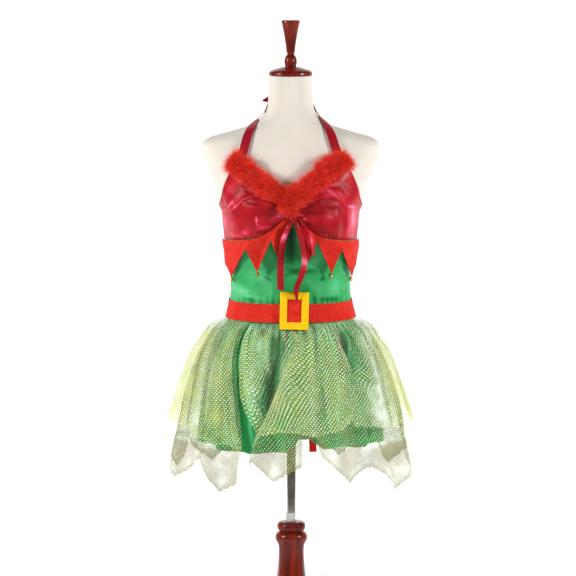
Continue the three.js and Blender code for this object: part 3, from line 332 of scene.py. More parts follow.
def net(name, threads, dots, edge, covers, dot_radius):
    """See-through net with rows of foil dots.

    The mesh's tone goes from painted shade in deep valleys and a single clear layer to folds where
    the layers crowd. threads are the net's colours and covers how much of it the threads fill, both
    from clear to dense. edge is the dots' colour where the layers crowd, and a second mesh value
    paints a white sheen where the foil film shines.
    """
    finish = Finish(name, threads[1], 0.45)
    finish.set("Specular IOR Level", 0.15)
    at = finish.place(uv=True)
    drift = finish.node("TexNoise", {"Vector": at, "Scale": 7.0, "Detail": 1.0}).outputs["Color"]
    pulled = finish.node("VectorMath", {0: drift, 1: (0.02, 0.02, 0)}, operation="MULTIPLY").outputs[0]
    laid = finish.node("VectorMath", {0: at, 1: pulled}, operation="ADD").outputs[0]
    turned = finish.node("Mapping", {"Vector": laid, "Rotation": (0, 0, math.pi / 4)}).outputs[0]
    cells = finish.node(
        "TexVoronoi",
        {"Vector": turned, "Scale": 1 / DOT_PITCH, "Randomness": 0.0},
        voronoi_dimensions="2D",
    )
    dot = finish.ramp(cells.outputs["Distance"], (dot_radius - 0.03, 1.0), (dot_radius + 0.03, 0.0))
    sparkle = finish.node("TexWhiteNoise", {"Vector": cells.outputs["Position"]}, noise_dimensions="2D")
    foil = finish.ramp(sparkle.outputs["Value"], *zip((0.0, 0.25, 0.5, 1.0), dots))
    wander = finish.math("MULTIPLY", finish.math("SUBTRACT", finish.noise(30, 3, 0.6), 0.5), 0.45)
    tone = finish.math("ADD", finish.tone(), wander)
    places = (0.1, 0.45, 0.75, 1.0)
    thread = finish.ramp(tone, *zip(places, threads))
    streaks = finish.noise(1.0, 3, 0.6, at=finish.place(uv=True, scale=(90, 16, 1)), distortion=1.0)
    # A painted white sheen on the foil film, broken into streaks.
    painted_sheen = finish.math("MULTIPLY", finish.tone("painted_sheen"), finish.ramp(streaks, (0.3, 0.7), (0.6, 1.0)))
    thread = finish.mix(painted_sheen, thread, srgb(236, 246, 238))
    foil = finish.mix(finish.ramp(tone, (0.6, 0.0), (0.85, 0.8)), foil, edge)
    finish.set("Base Color", finish.mix(dot, thread, foil))
    finish.set("Roughness", finish.ramp(dot, (0.0, 0.6), (1.0, 0.4)))
    dense = finish.ramp(tone, *zip(places, covers))
    dense = finish.math("MAXIMUM", dense, finish.math("MULTIPLY", painted_sheen, 0.95))
    shown = finish.ramp(tone, (0.02, 0.22), (0.26, 0.96))
    finish.set("Alpha", finish.math("MAXIMUM", dense, finish.math("MULTIPLY", dot, shown)))
    finish.bump(dot, 0.0003, 0.6)
    return finish.material


# Curves and meshes


def smooth(value):
    t = np.clip(value, 0, 1)
    return t * t * (3 - 2 * t)


def bell(distance, width):
    return np.exp(-(distance**2) / (2 * width**2))


def blend(a, b, t):
    return a + (b - a) * t


def smooth_curve(rows, column=1):
    """A smooth curve through one column of a table, over its first, that never overshoots."""
    at = np.array([row[0] for row in rows], float)
    to = np.array([row[column] for row in rows], float)
    rise = np.diff(to) / np.diff(at)
    slope = np.concatenate([rise[:1], np.zeros(len(rise) - 1), rise[-1:]])
    same_way = rise[:-1] * rise[1:] > 0
    total = np.where(same_way, rise[:-1] + rise[1:], 1)
    slope[1:-1] = np.where(same_way, 2 * rise[:-1] * rise[1:] / total, 0)

    def value(x):
        x = np.clip(x, at[0], at[-1])
        i = np.clip(np.searchsorted(at, x, side="right") - 1, 0, len(rise) - 1)
        step = at[i + 1] - at[i]
        t = (x - at[i]) / step
        ends = (1 + 2 * t) * (1 - t) ** 2 * to[i] + t**2 * (3 - 2 * t) * to[i + 1]
        return ends + step * (t * (1 - t) ** 2 * slope[i] - t**2 * (1 - t) * slope[i + 1])

    return value


def straight_curve(rows, column=1):
    at = [row[0] for row in rows]
    to = [row[column] for row in rows]
    return lambda x: np.interp(x, at, to)


def places_through(stops, step):
    """Places between stops, so that each stop is one of them."""
    places = [stops[0]]
    for a, b in zip(stops, stops[1:]):
        count = max(1, round((b - a) / step))
        places += [a + (b - a) * k / count for k in range(1, count + 1)]
    return np.array(places)


def grid_normals(grid, closed):
    along = np.gradient(grid, axis=0)
    if closed:
        along[0] = (grid[1] - grid[-1]) / 2
        along[-1] = (grid[0] - grid[-2]) / 2
    across = np.gradient(grid, axis=1)
    normal = np.cross(along, across)
    return normal / np.maximum(np.linalg.norm(normal, axis=-1, keepdims=True), 1e-9)


def lengths(grid):
    """Each point's place on the flat cloth: along the widest row, and down by its height."""
    steps = np.linalg.norm(np.diff(grid, axis=0), axis=-1)
    widest = steps[:, steps.sum(axis=0).argmax()]
    u = np.concatenate([[0], np.cumsum(widest)])
    drops = np.linalg.norm(np.diff(grid, axis=1), axis=-1).mean(axis=0)
    v = np.concatenate([[0], np.cumsum(drops)])
    fall = grid[:, 0, 2].mean() - grid[:, :, 2].mean(axis=0)
    if np.all(np.diff(fall) > 0):
        below = grid[:, 0, 2].mean() - grid[:, :, 2]
        v = np.interp(below, fall, v) + np.maximum(0, below - fall[-1])
    return np.stack(np.broadcast_arrays(u[:, None], -v), axis=-1)


def add_tone(obj, values, name="tone"):
    """Keeps a value between 0 and 1 for each point of the mesh, for its material."""
    layer = obj.data.attributes.new(name, "FLOAT", "POINT")
    layer.data.foreach_set("value", np.clip(values, 0, 1).astype(np.float32).ravel())


def new_object(name, verts, faces, uv, material, sharp=40):
    """A mesh object from millimetres; uv gives each point's place on the cloth."""
    mesh = bpy.data.meshes.new(name)
    mesh.from_pydata((np.asarray(verts) * MM).tolist(), [], np.asarray(faces).tolist())
    if uv is not None:
        layer = mesh.uv_layers.new(name="cloth")
        corners = np.empty(len(mesh.loops), dtype=np.int32)
        mesh.loops.foreach_get("vertex_index", corners)
        layer.data.foreach_set("uv", (np.asarray(uv)[corners] * MM).astype(np.float32).ravel())
    mesh.validate()
    mesh.polygons.foreach_set("use_smooth", [True] * len(mesh.polygons))
    mesh.set_sharp_from_angle(angle=math.radians(sharp))
    return placed(name, mesh, material)


def finished(obj, node, body_name=FORM):
    """Hides the CAD node that the piece stands in for, and attaches the piece to the body that it rides."""
    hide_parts(node)
    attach(obj, body_name)


def grid_faces(columns, rows, closed, start=0, flip=False):
    spans = columns if closed else columns - 1
    i, j = np.meshgrid(np.arange(spans), np.arange(rows - 1), indexing="ij")
    a = start + i * rows + j
    b = start + ((i + 1) % columns) * rows + j
    quads = np.stack([a, a + 1, b + 1, b], axis=-1) if flip else np.stack([a, b, b + 1, a + 1], axis=-1)
    return quads.reshape(-1, 4)


def rim_faces(columns, rows, closed):
    """The edge faces between an outer grid and the inner one that follows it."""
    size = columns * rows
    spans = columns if closed else columns - 1
    faces = []
    for j, flip in ((0, True), (rows - 1, False)):
        for i in range(spans):
            a, b = i * rows + j, ((i + 1) % columns) * rows + j
            faces.append((a, a + size, b + size, b) if flip else (a, b, b + size, a + size))
    if not closed:
        for i, flip in ((0, False), (columns - 1, True)):
            for j in range(rows - 1):
                a, b = i * rows + j, i * rows + j + 1
                faces.append((a, a + size, b + size, b) if flip else (a, b, b + size, a + size))
    return np.array(faces)


def cloth(name, grid, material, thick=0.0, closed=False, flip=False, tone=0.5, painted_sheen=None):
    """A sheet of cloth through grid[column][row], as a closed thin wall if thick.

    tone and the painted white sheen are numbers or grids of them that the material reads.
    """
    columns, rows = grid.shape[:2]
    uv = lengths(grid).reshape(-1, 2)
    verts = grid.reshape(-1, 3)
    faces = grid_faces(columns, rows, closed, flip=flip)
    if thick:
        side = grid_normals(grid, closed) * (-1 if flip else 1)
        inner = grid - side * thick
        verts = np.concatenate([verts, inner.reshape(-1, 3)])
        uv = np.concatenate([uv, uv])
        back = grid_faces(columns, rows, closed, start=columns * rows, flip=not flip)
        rim = rim_faces(columns, rows, closed)
        faces = np.concatenate([faces, back, rim[:, ::-1] if flip else rim])
    obj = new_object(name, verts, faces, uv, material)
    tones = np.broadcast_to(tone, grid.shape[:2]).ravel()
    add_tone(obj, np.tile(tones, 2) if thick else tones)
    if painted_sheen is not None:
        add_tone(obj, np.tile(painted_sheen.ravel(), 2) if thick else painted_sheen, "painted_sheen")
    return obj


def turned_grid(rows, angles, at):
    """Rows of (radius, height) at each of these angles round a vertical axis."""
    x = at[0] + rows[None, :, 0] * np.cos(angles)[:, None]
    y = at[1] + rows[None, :, 0] * np.sin(angles)[:, None]
    return np.stack([x, y, np.broadcast_to(rows[None, :, 1], x.shape)], axis=-1)


def lathe(name, rows, material, segments=96, at=(0, 0)):
    """A turned piece through rows of (radius, height), closed where they meet the axis."""
    turn = np.arange(segments) / segments * 2 * np.pi
    grid = turned_grid(np.array(rows, float), turn, at)
    obj = new_object(name, grid.reshape(-1, 3), grid_faces(segments, len(rows), True), None, material, 50)
    merge_close(obj)
    return obj


def merge_close(obj, distance=1e-5):
    work = bmesh.new()
    work.from_mesh(obj.data)
    bmesh.ops.remove_doubles(work, verts=work.verts, dist=distance)
    bmesh.ops.recalc_face_normals(work, faces=work.faces)
    work.to_mesh(obj.data)
    work.free()


def rounded(rows, steps=5):
    """Rows of a turned outline, made smooth by a curve through them."""
    rows = np.array(rows, float)
    reach = np.concatenate([[0], np.cumsum(np.linalg.norm(np.diff(rows, axis=0), axis=1))])
    fine = places_through(list(reach), (reach[-1] / len(rows)) / steps)
    radius = smooth_curve(list(zip(reach, rows[:, 0])))(fine)
    height = smooth_curve(list(zip(reach, rows[:, 1])))(fine)
    return np.stack([radius, height], axis=1)


def path_through(points, count):
    """A centripetal curve through points, at even places."""
    points = np.array(points, float)
    full = np.concatenate([[2 * points[0] - points[1]], points, [2 * points[-1] - points[-2]]])
    knots = np.concatenate([[0], np.cumsum(np.linalg.norm(np.diff(full, axis=0), axis=1) ** 0.5)])
    out = []
    for at in np.linspace(0, len(points) - 1, count):
        i = min(int(at), len(points) - 2)
        t = knots[i + 1] + (knots[i + 2] - knots[i + 1]) * (at - i)
        p, k = full[i : i + 4], knots[i : i + 4]
        for level in range(1, 4):
            p = [
                (p[j] * (k[j + level] - t) + p[j + 1] * (t - k[j])) / (k[j + level] - k[j])
                for j in range(4 - level)
            ]
        out.append(p[0])
    return np.array(out)


def ribbon(name, path, across, width, material, thick=0.8, curl=0.0, ripple=0.0, seed=0, tone=0.45):
    """A flat ribbon along a path; across is the direction of its width at each point."""
    path = np.asarray(path)
    along = np.gradient(path, axis=0)
    along /= np.linalg.norm(along, axis=1, keepdims=True)
    across = across - along * (across * along).sum(axis=1, keepdims=True)
    across /= np.linalg.norm(across, axis=1, keepdims=True)
    normal = np.cross(along, across)
    edge = np.linspace(-1, 1, 9)
    t = np.linspace(0, 1, len(path))[:, None]
    wave = ripple * np.sin(t * 9 + seed) * edge[None, :] + ripple * 0.6 * np.sin(t * 23 + 2 * seed)
    lift = curl * (edge[None, :] ** 2 - 0.33) + wave
    half = (width / 2)[:, None, None]
    grid = path[:, None] + across[:, None] * edge[None, :, None] * half + normal[:, None] * lift[..., None]
    return cloth(name, grid + normal[:, None] * thick / 2, material, thick=thick, tone=tone)


# The form's surface

BODY_ROWS = [  # height, half width, depth to the front, depth to the back
    (676, 142, 92, 98),
    (684, 150, 100, 106),
    (720, 158, 108, 116),
    (770, 161, 112, 119),
    (820, 148, 108, 110),
    (877, 126.6, 97, 90),
    (917, 121, 91, 84),
    (971, 121.5, 93, 87),
    (1010, 127, 97, 92),
    (1042, 134, 102, 97),
    (1097, 139, 108, 103),
    (1127, 150, 109, 107),
    (1165, 160, 106, 109),
    (1185, 170, 102, 107),
    (1225, 184, 87, 97),
    (1242, 186, 79, 90),
    (1253, 175, 74, 85),
    (1266, 133, 69, 79),
    (1278, 93, 65, 73),
    (1290, 68, 61, 66),
    (1304, 54, 56, 59),
    (1322, 47.6, 50, 52),
    (1379, 45, 46, 47),
    (1385, 44.8, 45.5, 46.5),
]
SECTION_POWER = 0.87
BUST = {"x": 80, "z": 1090, "out": 34, "wide": 42, "tall": 44, "fade": 1.6}
WAIST_Z, BELT_TOP_Z, SKIRT_TOP_Z = 877, 916, 884
LAYER = {
    "bodice": 3.5,
    "cup": 4.2,
    "points": 7.9,
    "underskirt": 2.9,
    "net_lower": 4.5,
    "net_upper": 6.6,
    "belt": 9.3,
}

body_side, body_front, body_back = (smooth_curve(BODY_ROWS, k) for k in (1, 2, 3))


def body(angle, z):
    """The form's surface. The angle is 0 at +X, and the front is at -90 degrees."""
    angle, z = np.broadcast_arrays(angle, z)
    across, deep = np.cos(angle), np.sin(angle)
    x = body_side(z) * np.sign(across) * np.abs(across) ** SECTION_POWER
    depth = np.where(deep < 0, body_front(z), body_back(z))
    bust = BUST["out"] * bell(np.abs(x) - BUST["x"], BUST["wide"]) * bell(z - BUST["z"], BUST["tall"])
    y = depth * np.sign(deep) * np.abs(deep) ** SECTION_POWER - bust * smooth(-deep * BUST["fade"])
    return np.stack([x, y, z.astype(float)], axis=-1)


def body_normal(angle, z, turn=0.02, rise=1.0):
    across = body(angle + turn, z) - body(angle - turn, z)
    normal = np.cross(across, body(angle, z + rise) - body(angle, z - rise))
    return normal / np.linalg.norm(normal, axis=-1, keepdims=True)


def off_body(angle, z, off):
    return body(angle, z) + body_normal(angle, z) * np.asarray(off)[..., None]


def angle_at(x, z, back=False):
    share = np.minimum(1, np.abs(x) / body_side(z)) ** (1 / SECTION_POWER)
    angle = np.arccos(np.sign(x) * share)
    return np.where(back, angle, -angle)


def ridges(x, z, rows):
    """Soft ridges along lines seen from the front, or troughs where out is negative.

    Each row gives the line's ends x, z and x, z, its half width and how far it stands out.
    """
    total = np.zeros(np.broadcast(x, z).shape)
    for x0, z0, x1, z1, wide, out in rows:
        dx, dz = x1 - x0, z1 - z0
        t = np.clip(((x - x0) * dx + (z - z0) * dz) / (dx * dx + dz * dz), 0, 1)
        away = np.hypot(x - x0 - t * dx, z - z0 - t * dz)
        total += out * np.exp(-((away / wide) ** 2)) * (0.55 + 0.45 * np.sin(np.pi * t))
    return total


def crumple(points, size, depth, seed):
    """Uneven soft swells of this size and depth, in millimetres."""
    phase = np.random.default_rng(seed)
    total = np.zeros(points.shape[:-1])
    for _ in range(7):
        way = phase.normal(size=3)
        way *= (0.6 + 0.9 * phase.random()) * 2 * np.pi / size / np.linalg.norm(way)
        shift = phase.random() * 6.28
        bend = 0.9 * np.sin(points @ (phase.normal(size=3) * 2 / size) + shift)
        total += np.sin(points @ way + shift + bend)
    return depth * total / 7


# Form and stand


def form_torso():
    around = np.arange(256) / 256 * 2 * np.pi
    heights = places_through([row[0] for row in BODY_ROWS], 4.5)
    grid = body(around[:, None], heights[None, :])
    low = grid[:, :1] * [0.965, 0.965, 1]
    floor = np.concatenate([low * [k, k, 1] for k in (0.0, 0.5, 1.0)], axis=1)
    top = np.concatenate([grid[:, -1:] * [k, k, 1] for k in (0.97, 0.5, 0.0)], axis=1)
    grid = np.concatenate([floor, grid, top], axis=1)
    obj = cloth("form_cover", grid, jersey_cover, closed=True)
    merge_close(obj)
    finished(obj, "form_torso")


def seam_strip(name, angles, heights, width=1.3):
    """A narrow raised seam on the form's cover."""
    centre = off_body(angles, heights, np.full(len(angles), 0.05))
    normal = body_normal(angles, heights)
    along = np.gradient(centre, axis=0)
    across = np.cross(along, normal)
    across /= np.linalg.norm(across, axis=1, keepdims=True)
    rows = [(-1, -0.3), (-0.6, 0.18), (0, 0.02), (0.6, 0.18), (1, -0.3)]
    grid = np.stack([centre + across * side * width + normal * up for side, up in rows], axis=1)
    obj = cloth(name, grid, jersey_cover, flip=True)
    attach(obj, FORM)


SEAM_TOP, SEAM_BOTTOM, SEAM_POINTS = 1385, 678, 160
NECK_SEAM_Z, NECK_SEAM_DIP = 1318, 16


def form_seams():
    heights = np.linspace(SEAM_TOP, SEAM_BOTTOM, SEAM_POINTS)
    for name, angle in (("front", -np.pi / 2), ("back", np.pi / 2), ("left", np.pi), ("right", 0.0)):
        seam_strip(f"form_seam_{name}", np.full(SEAM_POINTS, angle), heights)
    around = np.linspace(0, 2 * np.pi, SEAM_POINTS)
    dip = NECK_SEAM_Z - NECK_SEAM_DIP * np.clip(-np.sin(around), 0, 1) ** 2
    seam_strip("form_seam_neck", around, dip)


COLUMN_TOP, COLUMN_BOTTOM = 441, 62
STAND_AT = (1.5, 0)
POLE_RADIUS, POLE_BOTTOM, POLE_TOP, POLE_BEVEL = 9.5, 215, 675.7, 0.8

NECK_CAP_ROWS = [
    (0, 1385.3),
    (44.4, 1385.3),
    (45.5, 1387),
    (45.6, 1390.5),
    (43, 1394),
    (34, 1398),
    (22, 1401.5),
    (14, 1403),
    (0, 1403),
]
FINIAL_ROWS = [
    (0, 1403.3),
    (11.5, 1403.3),
    (11.8, 1405.3),
    (13, 1409.3),
    (13.3, 1415.3),
    (12, 1421.3),
    (9.5, 1426.3),
    (7.4, 1428.8),
    (7.8, 1431.3),
    (8.9, 1434.3),
    (10.2, 1445.3),
    (13.2, 1465.3),
    (17.4, 1487.3),
    (19.4, 1497),
    (18.6, 1499.6),
    (12, 1500.8),
    (0, 1501),
]
COLUMN_ROWS = [  # radius, and distance below the column's top
    (24, 0.5),
    (28, 3),
    (30.2, 9),
    (29, 16),
    (25.2, 20.5),
    (30, 24),
    (34, 33),
    (33.6, 38),
    (29.5, 45),
    (27, 52),
    (26.4, 62),
    (27.2, 84),
    (30, 116),
    (33.5, 160),
    (34, 195),
    (29, 240),
    (24, 266),
    (24, 276),
    (32, 286),
    (34, 292),
    (34, 373),
    (30, 379),
]


def wooden(name, rows, at, body_name):
    obj = lathe(name, rounded(rows), wood, at=at)
    finished(obj, name.replace("_turned", ""), body_name)


def stand_column():
    bore = POLE_RADIUS + 0.3
    outside = rounded([(radius, COLUMN_TOP - drop) for radius, drop in COLUMN_ROWS])
    rim = [(bore, COLUMN_TOP - 1), (bore + 0.8, COLUMN_TOP)]
    rows = rim + [(22, COLUMN_TOP)] + outside.tolist() + [(bore, COLUMN_BOTTOM), (bore, COLUMN_TOP - 1)]
    obj = lathe("stand_column_turned", rows, wood, at=STAND_AT)
    finished(obj, "stand_column", STAND)


def pole():
    inner = POLE_RADIUS - POLE_BEVEL
    rows = [(0, POLE_BOTTOM), (inner, POLE_BOTTOM), (POLE_RADIUS, POLE_BOTTOM + POLE_BEVEL)]
    rows += [(POLE_RADIUS, POLE_TOP - POLE_BEVEL), (inner, POLE_TOP), (0, POLE_TOP)]
    obj = lathe("pole_tube", rows, chrome_plate, at=STAND_AT)
    finished(obj, "pole")


COLLAR_ROWS = [  # radius and height round the section
    (9.9, 441.4),
    (11.4, 441.4),
    (11.6, 443),
    (11.5, 458),
    (11.2, 459.6),
    (10.6, 459.9),
    (9.9, 459.4),
]
COLLAR_FROM, COLLAR_TO, COLLAR_STEPS = 115, 318, 60  # degrees from +X


def pole_collar():
    """A white guide round the front of the pole, with a soft edge and a small lip."""
    angles = np.radians(np.linspace(COLLAR_FROM, COLLAR_TO, COLLAR_STEPS))
    rows = np.array(COLLAR_ROWS)
    grid = turned_grid(rows, angles, STAND_AT)
    count, last = len(rows), COLLAR_STEPS - 1
    faces = []
    for i in range(last):
        for j in range(count):
            k = (j + 1) % count
            faces.append((i * count + j, (i + 1) * count + j, (i + 1) * count + k, i * count + k))
    faces += [list(range(count))[::-1], [last * count + j for j in range(count)]]
    mesh = bpy.data.meshes.new("pole_collar_guide")
    mesh.from_pydata((grid.reshape(-1, 3) * MM).tolist(), [], faces)
    obj = placed("pole_collar_guide", mesh, white_plastic)
    merge_close(obj)
    obj.data.polygons.foreach_set("use_smooth", [True] * len(obj.data.polygons))
    obj.data.set_sharp_from_angle(angle=math.radians(50))
    finished(obj, "pole_collar", STAND)


LEG_TOP = [(34.3, 146), (76, 132), (126, 92), (172, 44), (204, 25), (226, 20), (230, 12)]
LEG_UNDER = [(34.3, 88), (76, 84), (120, 60), (166, 18), (190, 0), (210, 0), (228, 0)]
LEG_HALF, LEG_SIDES, LEG_POWER = 13, 32, 0.42  # the lower the power, the squarer the section


def stand_leg(k):
    """One curved leg with rounded edges, standing on its flat foot."""
    top = path_through([(r, 0, z) for r, z in LEG_TOP], 60)
    under = path_through([(r, 0, z) for r, z in LEG_UNDER], 60)
    under[:, 2] = np.maximum(under[:, 2], 0)
    turn = np.arange(LEG_SIDES) / LEG_SIDES * 2 * np.pi
    side = np.sign(np.cos(turn)) * np.abs(np.cos(turn)) ** LEG_POWER
    rise = np.sign(np.sin(turn)) * np.abs(np.sin(turn)) ** LEG_POWER
    middle, reach = (top + under) / 2, (top - under) / 2
    grid = middle[:, None] + reach[:, None] * rise[None, :, None]
    grid[..., 1] = LEG_HALF * side[None, :]
    ends = [np.broadcast_to(middle[i], (1, LEG_SIDES, 3)) for i in (0, -1)]
    grid = np.concatenate([ends[0], grid, ends[1]], axis=0)
    angle = math.radians(90 + 120 * k)
    c, s = math.cos(angle), math.sin(angle)
    grid = grid @ np.array([[c, s, 0], [-s, c, 0], [0, 0, 1]]) + [STAND_AT[0], 0, 0]
    grid = grid.transpose(1, 0, 2)
    faces = grid_faces(LEG_SIDES, grid.shape[1], True)
    obj = new_object(f"stand_leg_{k + 1}_carved", grid.reshape(-1, 3), faces, None, wood, 50)
    merge_close(obj)
    finished(obj, f"stand_leg_{k + 1}", STAND)


# Bodice

CENTRE_X = -1
SIDE_GAP = 0.0006


def side_end(side):
    """The angle at which the front's cloth ends at this side."""
    return -math.pi + SIDE_GAP if side < 0 else -SIDE_GAP
UNDERBUST = [(0, 1098), (14, 1096), (32, 1084), (48, 1072), (73, 1060), (102, 1053), (136, 1045)]
UNDERBUST_LEVEL, SEAM_REACH, SEAM_TURN = 1060, 118, 0.75
ARMHOLE_SIDE_Z, BACK_TOP_Z, BACK_DIP = 1099, 1074, 0.7
underbust_right = smooth_curve(UNDERBUST)


def underbust(x):
    return underbust_right(np.abs(x - CENTRE_X))


def seam_place(u, start_x, side):
    """A place on the seam under the cups: u runs from start_x out to the side seam."""
    front = angle_at(start_x + side * u * SEAM_REACH, UNDERBUST_LEVEL)
    angle = blend(front, side_end(side), smooth((u - SEAM_TURN) / (1 - SEAM_TURN)))
    return angle, underbust(body(angle, UNDERBUST_LEVEL)[..., 0])


BODICE_RIDGES = [  # x, z, x, z, half width, out: creases of the front
    (-112, 925, -70, 934, 5, 1.4),
    (-96, 948, -46, 930, 7, 1.5),
    (-80, 968, -38, 985, 9, 1.2),
    (-110, 1000, -70, 1010, 8, 1.1),
    (-30, 925, -22, 968, 5, 1.2),
    (30, 922, 44, 960, 6, 1.2),
    (52, 930, 100, 924, 5, 1.4),
    (60, 955, 112, 940, 8, 1.3),
    (44, 985, 90, 1004, 9, 1.2),
    (70, 1012, 112, 1002, 7, 1.1),
    (0, 1060, 0, 960, 12, -1.0),
]


# Painted light on the bodice: highlights where positive; painted shade in creases above the belt, and
# painted shadow down the middle under the knot and beside the tie's right tail, where negative.
BODICE_TONES = [  # x, z, x, z, half width, how much brighter
    (-112, 946, -84, 938, 11, 0.3),
    (-100, 930, -60, 926, 6, 0.2),
    (-90, 926, -70, 923, 4, -0.3),
    (60, 926, 94, 924, 4, -0.34),
    (46, 934, 50, 920, 3, -0.3),
    (-4, 988, 48, 986, 5, -0.34),
    (44, 1004, 56, 1012, 7, 0.2),
    (60, 960, 110, 950, 16, 0.1),
    (-76, 984, -50, 970, 10, 0.1),
    (-30, 960, -34, 925, 5, -0.14),
    (0, 1090, 1, 1046, 15, -0.6),
    (0, 1040, 2, 996, 12, -0.36),
]


def bodice(name, angles, top_z, node, crease_side):
    rows = np.linspace(0, 1, 66)
    top = top_z(angles)
    z = blend(top[:, None], SKIRT_TOP_Z + 0.3, rows[None, :])
    angle = np.broadcast_to(angles[:, None], z.shape)
    flat = body(angle, z)
    edge = smooth(rows / 0.05)[None, :] * smooth((1 - rows) / 0.03)[None, :]
    pucker = np.exp(-(z - BELT_TOP_Z) / 12) * np.sin(angle * 46 + 2.4 * np.sin(angle * 7))
    folds = ridges(flat[..., 0] * crease_side, z, BODICE_RIDGES) + crumple(flat, 75, 1.6, 5)
    rise = 0.8 + 0.75 * folds + 1.1 * np.clip(pucker, -1, 1)
    off = LAYER["bodice"] - 0.4 + edge * np.clip(rise, -0.5, 3.4)
    # Painted highlights and shade on the gathers above the belt and from the bodice tone table; the crumple
    # adds random tone.
    tone = 0.58 + 0.06 * crumple(flat, 60, 3.0, 8) + 0.1 * np.clip(pucker, -1, 1)
    patches = BODICE_TONES if crease_side > 0 else BODICE_TONES[:4]
    tone = tone + ridges(flat[..., 0] * crease_side, z, patches)
    obj = cloth(name, off_body(angle, z, off), green_satin, thick=1.0, tone=tone)
    finished(obj, node)


def bodice_front():
    angles = np.linspace(-np.pi + SIDE_GAP, -SIDE_GAP, 200)
    edge = lambda a: underbust(body(a, UNDERBUST_LEVEL)[..., 0]) - 0.3
    bodice("bodice_front_cloth", angles, edge, "bodice_front", 1)


def bodice_back():
    angles = np.linspace(SIDE_GAP, np.pi - SIDE_GAP, 200)
    edge = lambda a: blend(ARMHOLE_SIDE_Z, BACK_TOP_Z, np.sin(a) ** BACK_DIP)
    bodice("bodice_back_cloth", angles, edge, "bodice_back", -1)


# Cups

NECKLINE = [
    (-113, 1211),
    (-94, 1196),
    (-68, 1175),
    (-41, 1155),
    (-16, 1137),
    (-1, 1130),
    (12, 1141),
    (34, 1156),
    (58, 1180),
    (83, 1201),
    (111, 1213),
]
ARMHOLE = [  # share of the way down, x and height
    (0, 112, 1212),
    (0.2, 123, 1192),
    (0.4, 132, 1170),
    (0.6, 138, 1148),
    (0.8, 141, 1124),
    (1, 141, 1099),
]
NECKLINE_SHARE, ARMHOLE_TURN, CENTRE_LIFT = 0.72, 0.7, 3
neckline_z = smooth_curve(NECKLINE)
armhole_x, armhole_z = smooth_curve(ARMHOLE, 1), smooth_curve(ARMHOLE, 2)

CUP_RIDGES_LEFT = [  # x, z, x, z, half width, out: creases of the left cup
    (-80, 1174, -62, 1156, 2.2, 2.2),
    (-62, 1156, -42, 1133, 2.6, 2.6),
    (-137, 1108, -122, 1118, 2.2, 2.0),
    (-122, 1118, -114, 1130, 2.2, 2.2),
    (-114, 1130, -108, 1119, 2.0, 2.0),
    (-116, 1112, -91, 1134, 2.6, 2.6),
    (-91, 1134, -68, 1142, 3.0, 2.6),
    (-68, 1142, -46, 1133, 3.0, 2.2),
    (-69, 1103, -68, 1088, 2.0, 1.8),
    (-68, 1088, -62, 1086, 2.0, 1.6),
    (-6, 1102, -48, 1112, 4.5, 3.0),
    (-8, 1096, -52, 1090, 3.0, 2.6),
    (-10, 1108, -40, 1124, 3.5, 2.4),
    (-14, 1091, -66, 1078, 3.0, 2.4),
    (-30, 1118, -56, 1112, 7, -2.6),
    (-24, 1098, -50, 1100, 4, -2.4),
    (-104, 1150, -96, 1186, 14, 1.6),
    (-90, 1104, -84, 1070, 12, -1.6),
    (-128, 1100, -126, 1062, 7, 2.4),
]
CUP_RIDGES_RIGHT = [
    (14, 1104, 52, 1118, 4.0, 3.0),
    (16, 1098, 56, 1092, 3.0, 2.6),
    (18, 1110, 44, 1134, 4.0, 2.6),
    (20, 1092, 70, 1076, 3.0, 2.4),
    (28, 1104, 60, 1104, 5, -2.4),
    (44, 1150, 60, 1160, 7, 2.0),
    (62, 1160, 90, 1136, 5, 2.4),
    (90, 1136, 104, 1128, 4, 1.8),
    (112, 1124, 112, 1062, 2.2, 2.6),
    (112, 1124, 132, 1118, 2.2, 2.2),
    (104, 1122, 105, 1066, 5, -2.2),
    (84, 1178, 66, 1160, 9, 1.4),
    (92, 1102, 96, 1086, 6, 1.8),
    (70, 1128, 84, 1100, 10, -1.8),
    (76, 1082, 92, 1068, 4, 2.0),
]
# Painted highlights (positive) and painted shade (negative) on the satin: x, z, x, z, half width, how much
CUP_TONES_LEFT = [
    (-80, 1174, -62, 1156, 2.4, 0.5),
    (-62, 1156, -44, 1134, 2.8, 0.55),
    (-66, 1139, -48, 1134, 5.5, 0.32),
    (-137, 1108, -122, 1118, 1.8, 0.42),
    (-122, 1118, -114, 1130, 1.6, 0.42),
    (-114, 1130, -108, 1119, 1.6, 0.42),
    (-116, 1112, -91, 1134, 1.9, 0.42),
    (-91, 1134, -68, 1142, 2.4, 0.38),
    (-69, 1103, -68, 1088, 1.6, 0.4),
    (-68, 1088, -62, 1086, 1.6, 0.3),
    (-36, 1101, -20, 1112, 7, 0.42),
    (-134, 1100, -128, 1062, 9, 0.34),
    (-96, 1070, -88, 1068, 5, 0.36),
    (-68, 1080, -52, 1084, 3.5, 0.36),
    (-120, 1062, -96, 1060, 4, 0.26),
    (-124, 1150, -118, 1172, 8, 0.14),
    (-100, 1156, -84, 1150, 12, -0.16),
    (-90, 1116, -60, 1110, 14, -0.14),
    (-48, 1112, -30, 1122, 8, -0.3),
    (-40, 1088, -20, 1092, 3.5, -0.36),
    (-78, 1092, -76, 1078, 6, -0.14),
]
CUP_TONES_RIGHT = [
    (112, 1122, 128, 1118, 2.0, 0.42),
    (124, 1116, 124, 1062, 11, 0.42),
    (100, 1120, 104, 1064, 7, -0.2),
    (52, 1156, 70, 1152, 8, 0.28),
    (70, 1154, 100, 1134, 5.5, 0.26),
    (86, 1182, 66, 1164, 6, 0.16),
    (90, 1102, 98, 1088, 6, 0.16),
    (74, 1078, 84, 1072, 3, 0.24),
    (108, 1170, 118, 1140, 12, -0.1),
    (30, 1116, 60, 1110, 12, -0.22),
    (64, 1130, 84, 1118, 10, -0.18),
    (24, 1094, 50, 1084, 4, -0.34),
    (60, 1086, 82, 1066, 6, -0.24),
    (16, 1104, 30, 1108, 3, 0.3),
]


